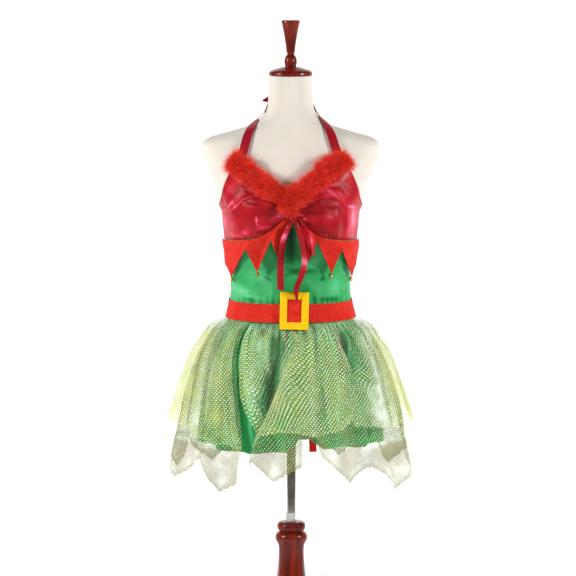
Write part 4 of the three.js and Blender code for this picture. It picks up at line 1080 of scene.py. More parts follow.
def cup_places(side, u, v):
    """The angle and height of each place between the neckline and armhole above and the seam below."""
    strap_x = NECKLINE[0][0] if side < 0 else NECKLINE[-1][0]
    start_x = CENTRE_X + side * 0.5
    along = u / NECKLINE_SHARE
    line_x = blend(start_x, strap_x, np.minimum(along, 1))
    line_z = neckline_z(line_x)
    t = np.clip((u - NECKLINE_SHARE) / (1 - NECKLINE_SHARE), 0, 1)
    arm_z = armhole_z(t)
    round_side = smooth((t - ARMHOLE_TURN) / (1 - ARMHOLE_TURN))
    arm_angle = blend(angle_at(side * armhole_x(t), arm_z), side_end(side), round_side)
    on_line = along <= 1
    top_angle = np.where(on_line, angle_at(line_x, line_z), arm_angle)
    top_z = np.where(on_line, line_z, arm_z)
    low_angle, low_z = seam_place(u, start_x, side)
    angle = blend(top_angle[:, None], low_angle[:, None], v[None, :])
    return angle, blend(top_z[:, None], low_z[:, None] + 0.4, v[None, :])


def cup(name, side, node, creases, tones, seed):
    u, v = np.linspace(0, 1, 130), np.linspace(0, 1, 96)
    angle, z = cup_places(side, u, v)
    flat = body(angle, z)
    uu, vv = np.broadcast_arrays(u[:, None], v[None, :])
    down = np.sin(np.pi * vv)
    full = 7 * down**0.8 * np.sin(np.pi * np.minimum(1, uu * 1.14))
    gather = smooth(uu / 0.14) * smooth((1 - uu) / 0.75) * down
    wave = (1 + np.sin(vv * 15.5 + uu * 2.2 * side)) / 2
    fine = 0.9 * gather * np.sin(vv * 41 + uu * 5) + 0.5 * gather * np.sin(vv * 67 - uu * 7)
    edge = smooth(vv / 0.06) * smooth((1 - vv) / 0.05) * smooth(uu / 0.02)
    pucker = 0.8 * smooth((vv - 0.86) / 0.1) * np.sin(uu * 90 + 3 * np.sin(uu * 17))
    loose = crumple(flat, 62, 2.4, seed) + crumple(flat, 27, 0.9, seed + 1)
    loose = loose + ridges(flat[..., 0], z, creases)
    off = LAYER["cup"] + CENTRE_LIFT * (1 - smooth(uu / 0.2)) + full + 4.5 * gather * wave
    off = off + edge * (loose + fine + pucker)
    off = np.maximum(off, LAYER["cup"] - 0.6)
    # Painted highlights and shade from the table, random tone, painted shade in the gathers' troughs and
    # light on their fine folds.
    tone = 0.5 + ridges(flat[..., 0], z, tones) + 0.07 * crumple(flat, 40, 3.0, seed + 2)
    tone = tone - 0.12 * gather * (1 - wave) + 0.07 * fine
    obj = cloth(name, off_body(angle, z, off), red_satin, thick=1.0, flip=side < 0, tone=tone)
    finished(obj, node)


# Marabou

MARABOU_ARM, MARABOU_MIDDLE, MARABOU_THICK = 17, 22, 15
STRANDS = 46000


def marabou_place(side, u, w, raised):
    """The band's surface: u runs from the middle out, w across from -1 below to 1 above."""
    end_x = side * (8 + abs(NECKLINE[0 if side < 0 else -1][0]))
    x = blend(CENTRE_X + side * 0.2, end_x, u)
    half = blend(MARABOU_MIDDLE, MARABOU_ARM, smooth(u / 0.3))
    ends = smooth((1.04 - u) / 0.12)
    lump = 1 + 0.14 * np.sin(u * 23 + side) + 0.08 * np.sin(u * 51 + side)
    px = x - side * w * half * 0.42 * smooth(u / 0.25)
    pz = neckline_z(x) + w * half * 0.92 * lump * np.maximum(ends, 0.5)
    lift = CENTRE_LIFT * (1 - smooth(u / 0.35))
    below = np.maximum(0, -w) * 8.8 * smooth(u / 0.2 + 0.4)
    crown = MARABOU_THICK * lump * np.sqrt(np.maximum(0.05, 1 - w * w)) * np.maximum(ends, 0.3)
    return angle_at(px, pz), pz, LAYER["cup"] + 1.5 + lift + below + crown * raised


def marabou_strands(side, seed):
    """Fine curved strands, each five points and three triangles."""
    place = np.random.default_rng(seed)
    count = STRANDS
    u = place.random(count) * 0.95
    w = np.clip(place.normal(0, 0.42, count), -0.85, 0.85)
    angle, z, off = marabou_place(side, u, w, 0.4)
    root = off_body(angle, z, off)
    normal = body_normal(angle, z)
    step = 0.01
    ahead = off_body(*marabou_place(side, np.minimum(u + step, 1), w, 0.4))
    behind = off_body(*marabou_place(side, np.maximum(u - step, 0), w, 0.4))
    along = ahead - behind
    along /= np.linalg.norm(along, axis=1, keepdims=True)
    up = np.cross(normal, along) * side
    up /= np.linalg.norm(up, axis=1, keepdims=True)
    lean = place.normal(0, 0.8, (count, 1))
    outward = np.clip(u - 0.84, 0, 1)[:, None] * 9
    way = normal * (0.35 + 0.5 * place.random((count, 1)))
    way += up * (w[:, None] * 1.5 + place.normal(0, 0.6, (count, 1)))
    way += along * (lean + outward)
    way /= np.linalg.norm(way, axis=1, keepdims=True)
    tuft = 1 + 0.4 * np.sin(u * 70 + 6 * np.sin(u * 17 + side)) + 0.3 * np.sin(u * 131 + 2 * w)
    wisp = 13 * (place.random(count) > 0.94) * place.random(count)
    length = ((6 + 11 * place.random(count) ** 1.5) * np.clip(tuft, 0.45, 1.7) + wisp)[:, None]
    droop = np.array([0, 0, -1.0]) * 0.18 + place.normal(0, 0.35, (count, 3))
    mid = root + way * length * 0.55
    tip = mid + (way + droop) * length * 0.5
    flat = np.cross(way, place.normal(size=(count, 3)))
    flat /= np.linalg.norm(flat, axis=1, keepdims=True)
    half = (0.2 + 0.18 * place.random(count))[:, None]
    wide, narrow = flat * half, flat * half * 0.7
    verts = np.stack([root - wide, root + wide, mid + narrow, mid - narrow, tip], 1)
    first = np.arange(count)[:, None] * 5
    triangles = np.concatenate([first + [0, 1, 2], first + [0, 2, 3], first + [3, 2, 4]])
    return verts.reshape(-1, 3), triangles


def marabou_core(side):
    """The soft roll that the strands grow from."""
    columns, rows = 60, 14
    u, w = np.linspace(0, 1, columns), np.linspace(1, -1, rows)
    u, w = np.broadcast_arrays(u[:, None], w[None, :] * 0.62)
    core = off_body(*marabou_place(side, u, w, 0.35))
    base = off_body(*marabou_place(side, u, w, 0.0))
    faces = grid_faces(columns, rows, False)
    back = faces[:, ::-1] + columns * rows
    quads = np.concatenate([faces, back, rim_faces(columns, rows, False)])
    return np.concatenate([core.reshape(-1, 3), base.reshape(-1, 3)]), quads


def marabou(name, side, node, seed):
    """A feather band: a soft core under many fine curved strands."""
    strands, triangles = marabou_strands(side, seed)
    core, quads = marabou_core(side)
    mesh = bpy.data.meshes.new(name)
    faces = quads.tolist() + (triangles + len(core)).tolist()
    mesh.from_pydata((np.concatenate([core, strands]) * MM).tolist(), [], faces)
    mesh.polygons.foreach_set("use_smooth", [True] * len(mesh.polygons))
    finished(placed(name, mesh, marabou_red), node)


# Ribbons

STRAP_LEFT = [  # x, height and whether it is behind the neck
    (-103, 1212.5, 0),
    (-96, 1236, 0),
    (-90, 1258, 0),
    (-82, 1275, 0),
    (-71.5, 1289.2, 0),
    (-58, 1303, 0),
    (-48, 1313, 1),
    (-38, 1321, 1),
    (-24, 1326, 1),
    (-6.9, 1328, 1),
]
STRAP_RIGHT = [
    (100, 1218, 0),
    (93.5, 1236, 0),
    (87, 1255, 0),
    (80, 1271, 0),
    (69, 1287, 0),
    (57, 1301, 0),
    (48, 1313, 1),
    (38, 1321, 1),
    (24, 1326, 1),
    (6.9, 1328, 1),
]
NECK_TAIL_RIGHT = [(2.5, 1319.9, 1), (9, 1304, 1), (16, 1282, 1), (20, 1256, 1), (22, 1228, 1)]
NECK_TAIL_LEFT = [(-7.4, 59, 1329), (-24, 63, 1331), (-40, 62, 1331), (-59, 55, 1328)]


def ribbon_on_form(name, rows, off, widths, node, count=70, curl=0.0, ripple=0.25):
    x, z, back = (np.array(column, float) for column in zip(*rows))
    angle = angle_at(x, z, back > 0)
    normal = body_normal(angle, z, turn=0.12, rise=8)
    path = path_through(body(angle, z) + normal * off, count)
    at = np.linspace(0, 1, len(rows))
    fine = np.linspace(0, 1, count)
    normals = np.stack([np.interp(fine, at, normal[:, k]) for k in range(3)], axis=1)
    across = np.cross(np.gradient(path, axis=0), normals)
    width = blend(widths[0], widths[1], smooth((fine - widths[2]) / (1 - widths[2])))
    obj = ribbon(name, path, across, width, red_ribbon, 0.8, curl, ripple, len(name))
    finished(obj, node)


def straps():
    widths = (19, 13, 0.6)
    ribbon_on_form("strap_left_ribbon", STRAP_LEFT, 3.6, widths, "strap_left")
    ribbon_on_form("strap_right_ribbon", STRAP_RIGHT, 3.6, widths, "strap_right")


def neck_tail_right():
    widths = (9.5, 17, 0.0)
    ribbon_on_form("neck_tail_right_ribbon", NECK_TAIL_RIGHT, 6, widths, "neck_tail_right", 40, 0.6)


def neck_tail_left():
    count = 40
    path = path_through(NECK_TAIL_LEFT, count)
    t = np.linspace(0, 1, count)
    width = blend(9.5, 17, smooth(t / 0.6))
    width = blend(width, 2, np.clip((t - 0.72) / 0.28, 0, 1))
    across = np.tile([0.0, 0, 1], (count, 1))
    obj = ribbon("neck_tail_left_ribbon", path, across, width, red_ribbon, 0.8, 0.6, 0.3, 2)
    finished(obj, "neck_tail_left")


def knot(name, at, size, material, node, seed):
    """A pulled knot: a rounded lump with folds that run over it and dip between."""
    columns, rows = 64, 34
    turn = np.arange(columns) / columns * 2 * np.pi
    tilt = np.linspace(-np.pi / 2, np.pi / 2, rows)
    a, b = np.broadcast_arrays(turn[:, None], tilt[None, :])
    unit = np.stack([np.cos(a) * np.cos(b), np.sin(a) * np.cos(b), np.sin(b)], axis=-1)
    across, up = unit[..., 0], unit[..., 2]
    folds = 0.09 * np.sin(across * 9 + up * 5 + seed) + 0.05 * np.sin(up * 17 - across * 6)
    waist = 0.1 * np.exp(-((across + 0.25 * up) ** 2) * 30)
    reach = 0.94 + (folds - waist) * np.cos(b)
    grid = unit * reach[..., None] * np.array(size) / 2 + np.array(at)
    places = grid.reshape(-1, 3)
    obj = new_object(name, places, grid_faces(columns, rows, True), places[:, [0, 2]], material, 60)
    # Painted highlights on the folds' crests and painted shade in their dips.
    add_tone(obj, 0.45 + 2.5 * folds)
    merge_close(obj)
    finished(obj, node)


KNOT_AT = (6, -129, 1098)
TIE_LEFT = [
    (2.5, -130.5, 1091.5),
    (-7, -138, 1076),
    (-17, -133, 1050),
    (-20, -126, 1018),
    (-21, -118, 985),
    (-21, -111, 948),
]
TIE_RIGHT = [
    (9.5, -130.5, 1091.5),
    (16, -138, 1076),
    (23, -134, 1050),
    (28, -128, 1022),
    (28, -121, 1000),
    (20, -114, 972),
    (12, -107, 949),
    (14, -105.8, 918.5),
]
TIE_LOOP = [
    (15.4, -129.5, 1101),
    (28, -144, 1086),
    (40, -147, 1064),
    (46, -145, 1038),
    (45, -140, 1023),
    (40, -136, 1034),
    (34, -136, 1056),
    (25, -136, 1078),
    (15.4, -129.5, 1094.5),
]


def tie_tail(name, rows, turn, node, end_wider, painted_highlight, pointed):
    count = 90
    path = path_through(rows, count)
    t = np.linspace(0, 1, count)
    angle = turn * np.sin(t * np.pi * 1.5)
    across = np.stack([np.cos(angle), np.sin(angle), np.zeros(count)], axis=1)
    width = blend(6, 12, smooth(t / 0.25)) + end_wider * smooth((t - 0.4) / 0.5)
    width = blend(width, 3, pointed * np.clip((t - 0.86) / 0.14, 0, 1))
    # A painted highlight across the tail, centred at this share of its length.
    tone = 0.4 + 0.6 * np.exp(-(((t - painted_highlight[0]) / painted_highlight[1]) ** 2))
    curl = 0.7 * (1 - smooth(t[:, None] / 0.6))
    obj = ribbon(name, path, across, width, red_satin, 0.8, curl, 0.35, len(name), tone[:, None])
    finished(obj, node)


def tie_loop():
    count = 110
    path = path_through(TIE_LOOP, count)
    width = 5 + 9 * np.sin(np.pi * np.linspace(0, 1, count))
    across = np.tile([0.45, 0.9, 0.1], (count, 1))
    t = np.linspace(0, 1, count)[:, None]
    # Two painted highlights along the loop.
    tone = 0.4 + 0.45 * np.exp(-(((t - 0.3) / 0.08) ** 2)) + 0.25 * np.exp(-(((t - 0.72) / 0.08) ** 2))
    obj = ribbon("tie_loop_ribbon", path, across, width, red_satin, 0.8, 0.4, 0.25, 3, tone)
    finished(obj, "tie_loop_right")


# Felt points and bells

POINTS_LEFT = [(-18, 1001), (-45, 1062), (-63, 988), (-86, 1043), (-112, 969), (-123, 996)]
POINTS_RIGHT = [(30, 1001), (57, 1062), (76, 984), (97, 1041), (114, 969), (123, 996)]
POINTS_OFF, POINTS_TURN, POINTS_HUG = 9.5, 0.94, 0.6
POINTS_SEED = {-1: 51, 1: 52}


def points_off(u):
    """How far the lower edge stands off the bodice, from the inner edge out to the side."""
    return POINTS_OFF * (1 - POINTS_HUG * smooth((u - 0.5) / 0.4))


def points_swell(angle, z, side):
    return crumple(body(angle, z), 60, 2.2, POINTS_SEED[side]) + 0.4


def points(name, rows, inner_x, node):
    side = np.sign(rows[1][0])
    at = np.linspace(0, 1, len(rows))
    u = places_through(list(at), 0.008)
    v = np.linspace(0, 1, 44)
    low_x, low_z = (np.interp(u, at, [row[k] for row in rows]) for k in (0, 1))
    top_angle, top_z = seam_place(u, inner_x, side)
    low_angle = blend(angle_at(low_x, low_z), side_end(side), smooth((u - POINTS_TURN) / (1 - POINTS_TURN)))
    angle = blend(top_angle[:, None], low_angle[:, None], v[None, :])
    z = blend(top_z[:, None] - 0.3, low_z[:, None], v[None, :])
    down = v[None, :]
    off = LAYER["points"] - 0.15 * (1 - smooth(down / 0.25)) + points_off(u)[:, None] * down**1.3
    off = off + smooth(down / 0.3) * points_swell(angle, z, side)
    obj = cloth(name, off_body(angle, z, off), red_felt, thick=1.8, flip=side < 0)
    finished(obj, node)


BELL_RADIUS, BELL_DROP = 4.8, 0.8
BALL_GRID, RING_GRID = (40, 41), (24, 8)  # columns and rows


def bell_parts():
    """A jingle bell's outline: a ball with a raised band, and its hanging ring."""
    tilt = np.linspace(-np.pi / 2, np.pi / 2, BALL_GRID[1])
    radius = 4.4 + 0.32 * np.exp(-((tilt / 0.09) ** 2))
    turn = np.arange(BALL_GRID[0]) / BALL_GRID[0] * 2 * np.pi
    a, b = np.broadcast_arrays(turn[:, None], tilt[None, :])
    below = 0.9 * smooth((-b - 0.35) / 0.2)
    slots = [np.exp(-((way(a) * np.cos(b) / 0.11) ** 2)) for way in (np.cos, np.sin)]
    slot = below * np.maximum(*slots)
    size = radius[None, :] - slot
    ball = np.stack([size * np.cos(a) * np.cos(b), size * np.sin(a) * np.cos(b), size * np.sin(b)], axis=-1)
    ring_turn = np.arange(RING_GRID[0]) / RING_GRID[0] * 2 * np.pi
    tube = np.arange(RING_GRID[1]) / RING_GRID[1] * 2 * np.pi
    c, d = np.broadcast_arrays(ring_turn[:, None], tube[None, :])
    reach = 1.15 + 0.3 * np.cos(d)
    ring = np.stack([reach * np.cos(c), 0.3 * np.sin(d), 4.9 + reach * np.sin(c) - 0.5], axis=-1)
    return ball, ring


def bells():
    ball, ring = bell_parts()
    round_ring, round_tube = RING_GRID
    i, j = np.meshgrid(np.arange(round_ring), np.arange(round_tube), indexing="ij")

    def wrap(a, b):
        return (a % round_ring) * round_tube + b % round_tube

    ring_faces = np.stack([wrap(i, j), wrap(i + 1, j), wrap(i + 1, j + 1), wrap(i, j + 1)], -1)
    start = BALL_GRID[0] * BALL_GRID[1]
    faces = np.concatenate([grid_faces(*BALL_GRID, True), ring_faces.reshape(-1, 4) + start])
    shape = np.concatenate([ball.reshape(-1, 3), ring.reshape(-1, 3)])
    edges = (POINTS_LEFT, POINTS_RIGHT)
    tips = [(x, z, points_off(i / 5)) for rows in edges for i, (x, z) in enumerate(rows)]
    for k, (x, z, stand) in enumerate(tips[::2]):
        angle, z = angle_at(x, z), np.array(float(z))
        off = LAYER["points"] + stand - 1 + points_swell(angle, z, np.sign(x))
        at = off_body(angle, z, off)
        at = at - [0, 0, BELL_RADIUS + BELL_DROP]
        c, s = math.cos(k * 0.7), math.sin(k * 0.7)
        turned = shape @ np.array([[c, s, 0], [-s, c, 0], [0, 0, 1]])
        obj = new_object(f"jingle_bell_{k + 1}", turned + at, faces, None, bell_gold, 60)
        finished(obj, f"bell_{k + 1}")


# Belt and buckle


def belt():
    around = np.arange(360) / 360 * 2 * np.pi
    rows = np.linspace(0, 1, 14)
    z = blend(BELT_TOP_Z, WAIST_Z, rows)[None, :]
    angle, z = np.broadcast_arrays(around[:, None], z)
    off = LAYER["belt"] - 2.4 * (1 - rows)[None, :]
    flat = body(angle, z)
    wave = 0.25 * crumple(flat, 60, 2.0, 9) + 0.35 * np.sin(angle * 3 + 1) * (rows[None, :] - 0.5)
    obj = cloth("belt_felt", off_body(angle, z, off + wave), red_felt, thick=1.8, closed=True)
    finished(obj, "belt")


BUCKLE_AT = np.array([7.5, -104.3, 903])
BUCKLE_LEAN, BUCKLE_TURN = math.radians(12.3), math.radians(-1.2)
BUCKLE_HALF, BUCKLE_BAR = (30, 39), 15


def buckle_space(points):
    """From the buckle's plane (across, up, ahead) to the row's frame."""
    across, up, ahead = points[:, 0], points[:, 1], points[:, 2]
    c, s = math.cos(BUCKLE_TURN), math.sin(BUCKLE_TURN)
    across, up = across * c - up * s, across * s + up * c
    lean_c, lean_s = math.cos(BUCKLE_LEAN), math.sin(BUCKLE_LEAN)
    y = up * lean_s - ahead * lean_c
    z = up * lean_c + ahead * lean_s
    return np.stack([across, y, z], axis=1) + BUCKLE_AT


def rim(half_wide, half_tall, count):
    """Points along a rectangle's edge, the same number on each side."""
    t = np.linspace(0, 1, count, endpoint=False)
    one = np.ones(count)
    bottom = np.stack([blend(-half_wide, half_wide, t), -half_tall * one], 1)
    right = np.stack([half_wide * one, blend(-half_tall, half_tall, t)], 1)
    return np.concatenate([bottom, right, -bottom, -right])


def buckle():
    """The felt frame: rings of points from its outer edge in to its window, with soft corners."""
    count = 24
    outer = rim(*BUCKLE_HALF, count)
    inner = rim(BUCKLE_HALF[0] - BUCKLE_BAR, BUCKLE_HALF[1] - BUCKLE_BAR, count)
    shares = [0, 0.02, 0.06, 0.3, 0.6, 0.94, 0.98, 1]
    heights = [2.3, 2.8, 3, 3.05, 3.05, 3, 2.8, 2.3]
    wobble = crumple(np.column_stack([outer, outer[:, :1] * 0]), 22, 0.5, 4)[:, None]
    rings = []
    for share, height in zip(shares + [1, 0], heights + [0, 0]):
        flat = blend(outer, inner, share) * (1 + wobble * 0.006)
        rings.append(np.column_stack([flat, np.full(4 * count, float(height))]))
    grid = np.stack(rings, axis=1)
    columns, rows = grid.shape[:2]
    closed = np.concatenate([grid, grid[:, :1]], axis=1)
    verts = buckle_space(closed.reshape(-1, 3))
    faces = grid_faces(columns, rows + 1, True)
    obj = new_object("buckle_felt", verts, faces, closed.reshape(-1, 3)[:, :2], yellow_felt, 35)
    merge_close(obj)
    finished(obj, "buckle")


def buckle_patch():
    half = (BUCKLE_HALF[0] - BUCKLE_BAR - 0.3, BUCKLE_HALF[1] - BUCKLE_BAR - 0.3)
    columns, rows = 24, 36
    x, y = np.linspace(-half[0], half[0], columns), np.linspace(half[1], -half[1], rows)
    across, up = np.broadcast_arrays(x[:, None], y[None, :])
    ahead = 0.85 + 0.12 * np.sin(across * 0.3 + up * 0.2)
    grid = np.stack([across, up, ahead], axis=-1)
    shape = buckle_space(grid.reshape(-1, 3)).reshape(columns, rows, 3)
    obj = cloth("buckle_window_felt", shape, red_felt, thick=0.8, flip=True)
    finished(obj, "buckle_patch")


BELT_KNOT_AT = (0, 105.2, 892)
BELT_TAIL_RIGHT = [
    (9, 110.2, 884),
    (18, 140, 866),
    (28, 172, 834),
    (36, 200, 786),
    (41, 222, 724),
    (44, 236, 664),
    (47, 240, 606),
    (49, 240, 548),
]
BELT_TAIL_LEFT = [
    (-9, 110.2, 884),
    (-17, 140, 866),
    (-27, 172, 834),
    (-34, 200, 786),
    (-39, 222, 724),
    (-42, 236, 664),
]


def belt_tail(name, rows, node):
    count = 90
    path = path_through(rows, count)
    t = np.linspace(0, 1, count)
    width = blend(10, 16, smooth(t / 0.2))
    across = np.tile([1.0, 0, 0], (count, 1))
    obj = ribbon(name, path, across, width, red_felt, 1.8, 0.5, 0.5, len(name))
    finished(obj, node)


# Skirt

UNDERSKIRT_ROWS = [  # drop below the waist, and how far out at the side, front and back
    (0, 0, 0, 0),
    (13, 8, 1.5, 6),
    (27, 20, 6, 15),
    (44, 31, 14, 26),
    (75, 42, 34, 46),
    (121, 49, 56, 68),
    (160, 54, 70, 82),
    (221, 60, 84, 96),
    (265, 66, 91, 103),
]
NET_LOWER_ROWS = [
    (0, 0, 0, 0),
    (13, 17, 3.5, 12),
    (27, 30, 10, 23),
    (44, 41, 20, 35),
    (75, 58, 42, 58),
    (121, 76, 66, 82),
    (160, 87, 82, 98),
    (221, 99, 101, 116),
    (303, 117, 120, 132),
    (350, 124, 127, 137),
]
NET_UPPER_ROWS = [
    (0, 0, 0, 0),
    (6, 14, 2, 9),
    (13, 30, 6, 20),
    (27, 43, 16, 33),
    (44, 53, 30, 47),
    (75, 73, 54, 73),
    (121, 91, 84, 99),
    (160, 103, 102, 115),
    (206, 116, 117, 127),
    (260, 122, 125, 133),
]
SKIRT_FOLDS = [  # middle in degrees from the front, half width in degrees, and how far out
    (-78, 11, 9),
    (-61, 10, -12),
    (-44, 11, 11),
    (-31, 8, -7),
    (-22, 7, 7),
    (-9, 10, -15),
    (7, 11, 12),
    (21, 10, 5),
    (34, 9, -13),
    (47, 11, 10),
    (62, 9, -8),
    (76, 10, 9),
    (92, 9, -6),
    (108, 11, 11),
    (124, 9, -10),
    (139, 11, 12),
    (156, 10, -12),
    (171, 9, 8),
    (186, 9, -10),
    (202, 11, 12),
    (219, 10, -12),
    (235, 10, 10),
    (250, 9, -9),
    (265, 9, 6),
]
FOLD_DROP, FOLD_SPREAD = 240, 1.15
UNDERSKIRT_HEM = [
    (-180, 622),
    (-90, 624),
    (-25, 615),
    (-2, 618),
    (4, 648),
    (10, 648),
    (18, 626),
    (60, 622),
    (180, 622),
]
NET_LOWER_HEM = [
    (-180, 600),
    (-170, 545),
    (-154, 600),
    (-137, 542),
    (-120, 598),
    (-104, 550),
    (-88, 596),
    (-70, 550),
    (-46, 602),
    (-33, 538),
    (-21, 560),
    (-20, 606),
    (-9, 560),
    (3, 597),
    (4, 652),
    (10, 652),
    (12, 616),
    (27, 557),
    (40, 588),
    (60, 529),
    (86, 572),
    (104, 600),
    (122, 545),
    (140, 598),
    (156, 548),
    (172, 602),
    (180, 600),
]
NET_UPPER_HEM = [
    (-180, 640),
    (-160, 672),
    (-138, 640),
    (-116, 674),
    (-92, 662),
    (-80, 672),
    (-50, 652),
    (-23, 630),
    (-21, 626),
    (-14, 649),
    (-7, 662),
    (1, 668),
    (10, 659),
    (24, 671),
    (29, 686),
    (32, 672),
    (60, 664),
    (88, 668),
    (112, 676),
    (136, 640),
    (158, 674),
    (180, 640),
]
SLIT = {
    "top": -35,
    "bottom": -21.5,
    "gap_top": 2.2,
    "gap_bottom": 3.2,
    "drop": 250,
    "margin": 1.2,
    "leans": 0.2,
}


def fold_at(degrees):
    total = np.zeros(np.shape(degrees))
    for at, half, out in SKIRT_FOLDS:
        share = np.abs((degrees - at + 180) % 360 - 180) / (half * FOLD_SPREAD)
        total = total + np.where(share < 1, out * (1 + np.cos(np.pi * np.minimum(share, 1))) / 2, 0)
    return total


def gathers(degrees, drop, reach, seed):
    """Small uneven gathers under the belt, fading out below."""
    wave = np.sin(np.radians(degrees) * 61 + 2.2 * np.sin(np.radians(degrees) * 9 + seed))
    wave += 0.6 * np.sin(np.radians(degrees) * 103 + 3 * np.sin(np.radians(degrees) * 13 + seed))
    return wave * smooth(drop / 10) * np.exp(-np.maximum(drop - 8, 0) / reach)


def skirt_surface(rows, off, degrees, z, extra):
    """One skirt layer's surface; extra is how far its own creases stand out there."""
    side, front, back = (smooth_curve(rows, k) for k in (1, 2, 3))
    angle = np.radians(degrees - 90)
    drop = np.maximum(0, WAIST_Z - z)
    start = off_body(angle, np.maximum(z, WAIST_Z), np.full(z.shape, float(off)))
    push = fold_at(degrees) * smooth(drop / FOLD_DROP) ** 0.8 + extra
    across, deep = np.cos(angle), np.sin(angle)
    x = start[..., 0] + (side(drop) + push) * across
    y = start[..., 1] + (np.where(deep < 0, front(drop), back(drop)) + push) * deep
    form = body(np.arctan2(y / body_front(z), x / body_side(z)), z)
    inside = (np.hypot(form[..., 0], form[..., 1]) + off) / np.hypot(x, y)
    outward = np.maximum(1, np.where(drop > 0, inside, 1))
    return np.stack([x * outward, y * outward, np.minimum(z, SKIRT_TOP_Z)], axis=-1)


def skirt_creases(degrees, drop, rows):
    """Creases that run down the cloth, each from one angle and drop to another.

    Each row gives the angles and drops of its two ends, its half width in degrees and how far out.
    """
    total = np.zeros(np.broadcast(degrees, drop).shape)
    for from_deg, from_drop, to_deg, to_drop, half, out in rows:
        t = (drop - from_drop) / (to_drop - from_drop)
        middle = blend(from_deg, to_deg, np.clip(t, 0, 1))
        away = (degrees - middle + 180) % 360 - 180
        fade = smooth(t / 0.25 + 0.5) * smooth((1.1 - t) / 0.3)
        total += out * np.exp(-((away / half) ** 2)) * fade
    return total


# The angle and drop of each crease's ends, its half width in degrees and how far out it stands
UNDERSKIRT_CREASES = [
    (-58, 20, -52, 240, 3.5, 5),
    (-52, 30, -42, 240, 3, -7),
    (-42, 16, -34, 230, 3, 5),
    (-36, 24, -21, 240, 2.5, 4),
    (-24, 18, -19, 240, 3, 6),
    (-5, 30, -15, 170, 3.4, -12),
    (4, 14, 0, 230, 4, 7),
    (15, 20, 15, 230, 1.6, -5),
    (29, 14, 33, 120, 2.4, 6),
    (42, 14, 36.5, 118, 3.4, -10),
    (54, 16, 46, 230, 4, 7),
    (66, 18, 70, 230, 4, -5),
]
NET_CREASES = [
    (-64, 30, -58, 250, 2.2, 5),
    (-50, 40, -40, 230, 2.4, -6),
    (-43, 10, -34, 230, 2.0, 5),
    (-29, 14, -23, 200, 1.3, 3),
    (-15, 12, -12, 110, 1.3, 4),
    (-4, 26, -14, 150, 3.0, -8),
    (15, 20, 15, 200, 1.2, -4),
    (40, 14, 36.5, 112, 3.4, -9),
    (52, 12, 44, 190, 2.4, 5),
    (59, 50, 54.5, 220, 1.2, 5),
    (76, 30, 80, 240, 2.5, 4),
]
# Painted shade (negative) and painted sheen (positive) on the satin
SATIN_TONES = [
    (-56, 26, -50, 90, 2.6, 0.1),
    (-48, 100, -39, 210, 3.6, -0.12),
    (-40, 12, -32, 50, 2.5, -0.2),
    (-36.5, 20, -20, 262, 2.4, 0.26),
    (-27, 10, -22, 60, 3, 0.22),
    (-20, 40, -20, 200, 4, 0.12),
    (-22, 14, -19, 30, 3, -0.35),
    (-9, 20, -16, 186, 4.2, -0.22),
    (-1, 12, -6, 60, 3.0, -0.3),
    (-5, 34, -6, 60, 1.6, 0.35),
    (15, 30, 15, 240, 1.6, -0.18),
    (29.5, 14, 32.5, 100, 1.7, 0.34),
    (34, 120, 31, 230, 2.2, 0.22),
    (40, 16, 36, 116, 4.8, -0.55),
    (50.6, 20, 36.6, 124, 0.8, 0.5),
    (56, 40, 44, 210, 6, 0.22),
    (10, 100, 9, 240, 5, -0.05),
]
# Where the net's own layers crowd (positive), or lie single with painted shade in the valleys (negative)
NET_TONES = [
    (-82, 20, -78, 250, 14, 0.46),
    (-62, 30, -57, 250, 3.4, 0.2),
    (-42.5, 12, -33.5, 230, 2.6, 0.3),
    (-52, 30, -41, 230, 3.6, -0.32),
    (-30, 30, -22.5, 250, 1.4, 0.22),
    (-27, 30, -21, 170, 5, 0.12),
    (-15, 16, -12.5, 100, 1.1, 0.4),
    (-8, 26, -15, 180, 4.0, -0.5),
    (4, 30, -8, 200, 3.5, 0.2),
    (8, 40, 4, 240, 9, 0.14),
    (15, 30, 15, 220, 1.3, -0.26),
    (22, 60, 24, 220, 6, 0.1),
    (27.5, 14, 35.4, 116, 1.2, 0.34),
    (30.5, 16, 32, 130, 1.6, -0.4),
    (42, 14, 36.6, 116, 4.4, -0.55),
    (59, 60, 54.6, 236, 1.5, 0.5),
    (76, 30, 77, 240, 12, 0.5),
]
# Where a white sheen is painted on the net's film
PAINTED_SHEENS = [
    (-20, 70, -18.5, 170, 1.7, 0.6),
    (-4, 34, -5, 60, 1.0, 0.4),
    (-26, 14, -21, 60, 1.6, 0.3),
    (9, 120, 10, 220, 2.2, 0.5),
    (53, 24, 50, 120, 4.4, 1.1),
    (47, 120, 45, 214, 6.6, 1.2),
    (62, 30, 61, 160, 2.2, 0.6),
]
# Folds that lap over the cloth beside them: the right part lies on top where the lap is positive.
# The angle and drop of each end, its half width in degrees, how much it laps and how far it lifts.
LAPS = [
    (4.5, 22, -18, 252, 5.0, 1.0, 5),
    (29, 14, 36.5, 120, 4.4, -1.0, 6),
    (-50, 30, -39, 262, 4.4, 0.85, 5),
    (58, 50, 55.5, 260, 4.0, 0.9, 5),
    (-66, 30, -60, 262, 4.2, -0.85, 5),
]


BEHIND_SPREAD, BEHIND_FROM, BEHIND_TO, TONES_BEHIND = 1.15, 187, 184, 0.6


def ends_behind(from_deg, to_deg):
    """Where a front crease's ends come when it is mirrored to the hidden half and spread over it."""
    return BEHIND_FROM - from_deg * BEHIND_SPREAD, BEHIND_TO - to_deg * BEHIND_SPREAD


def mirrored_behind(rows, strength=1.0):
    """Rows of creases or tones, with the same kind again for the hidden half."""
    behind = []
    for from_deg, from_drop, to_deg, to_drop, half, out in rows:
        start, end = ends_behind(from_deg, to_deg)
        behind.append((start, from_drop, end, to_drop, half, out * strength))
    return rows + behind


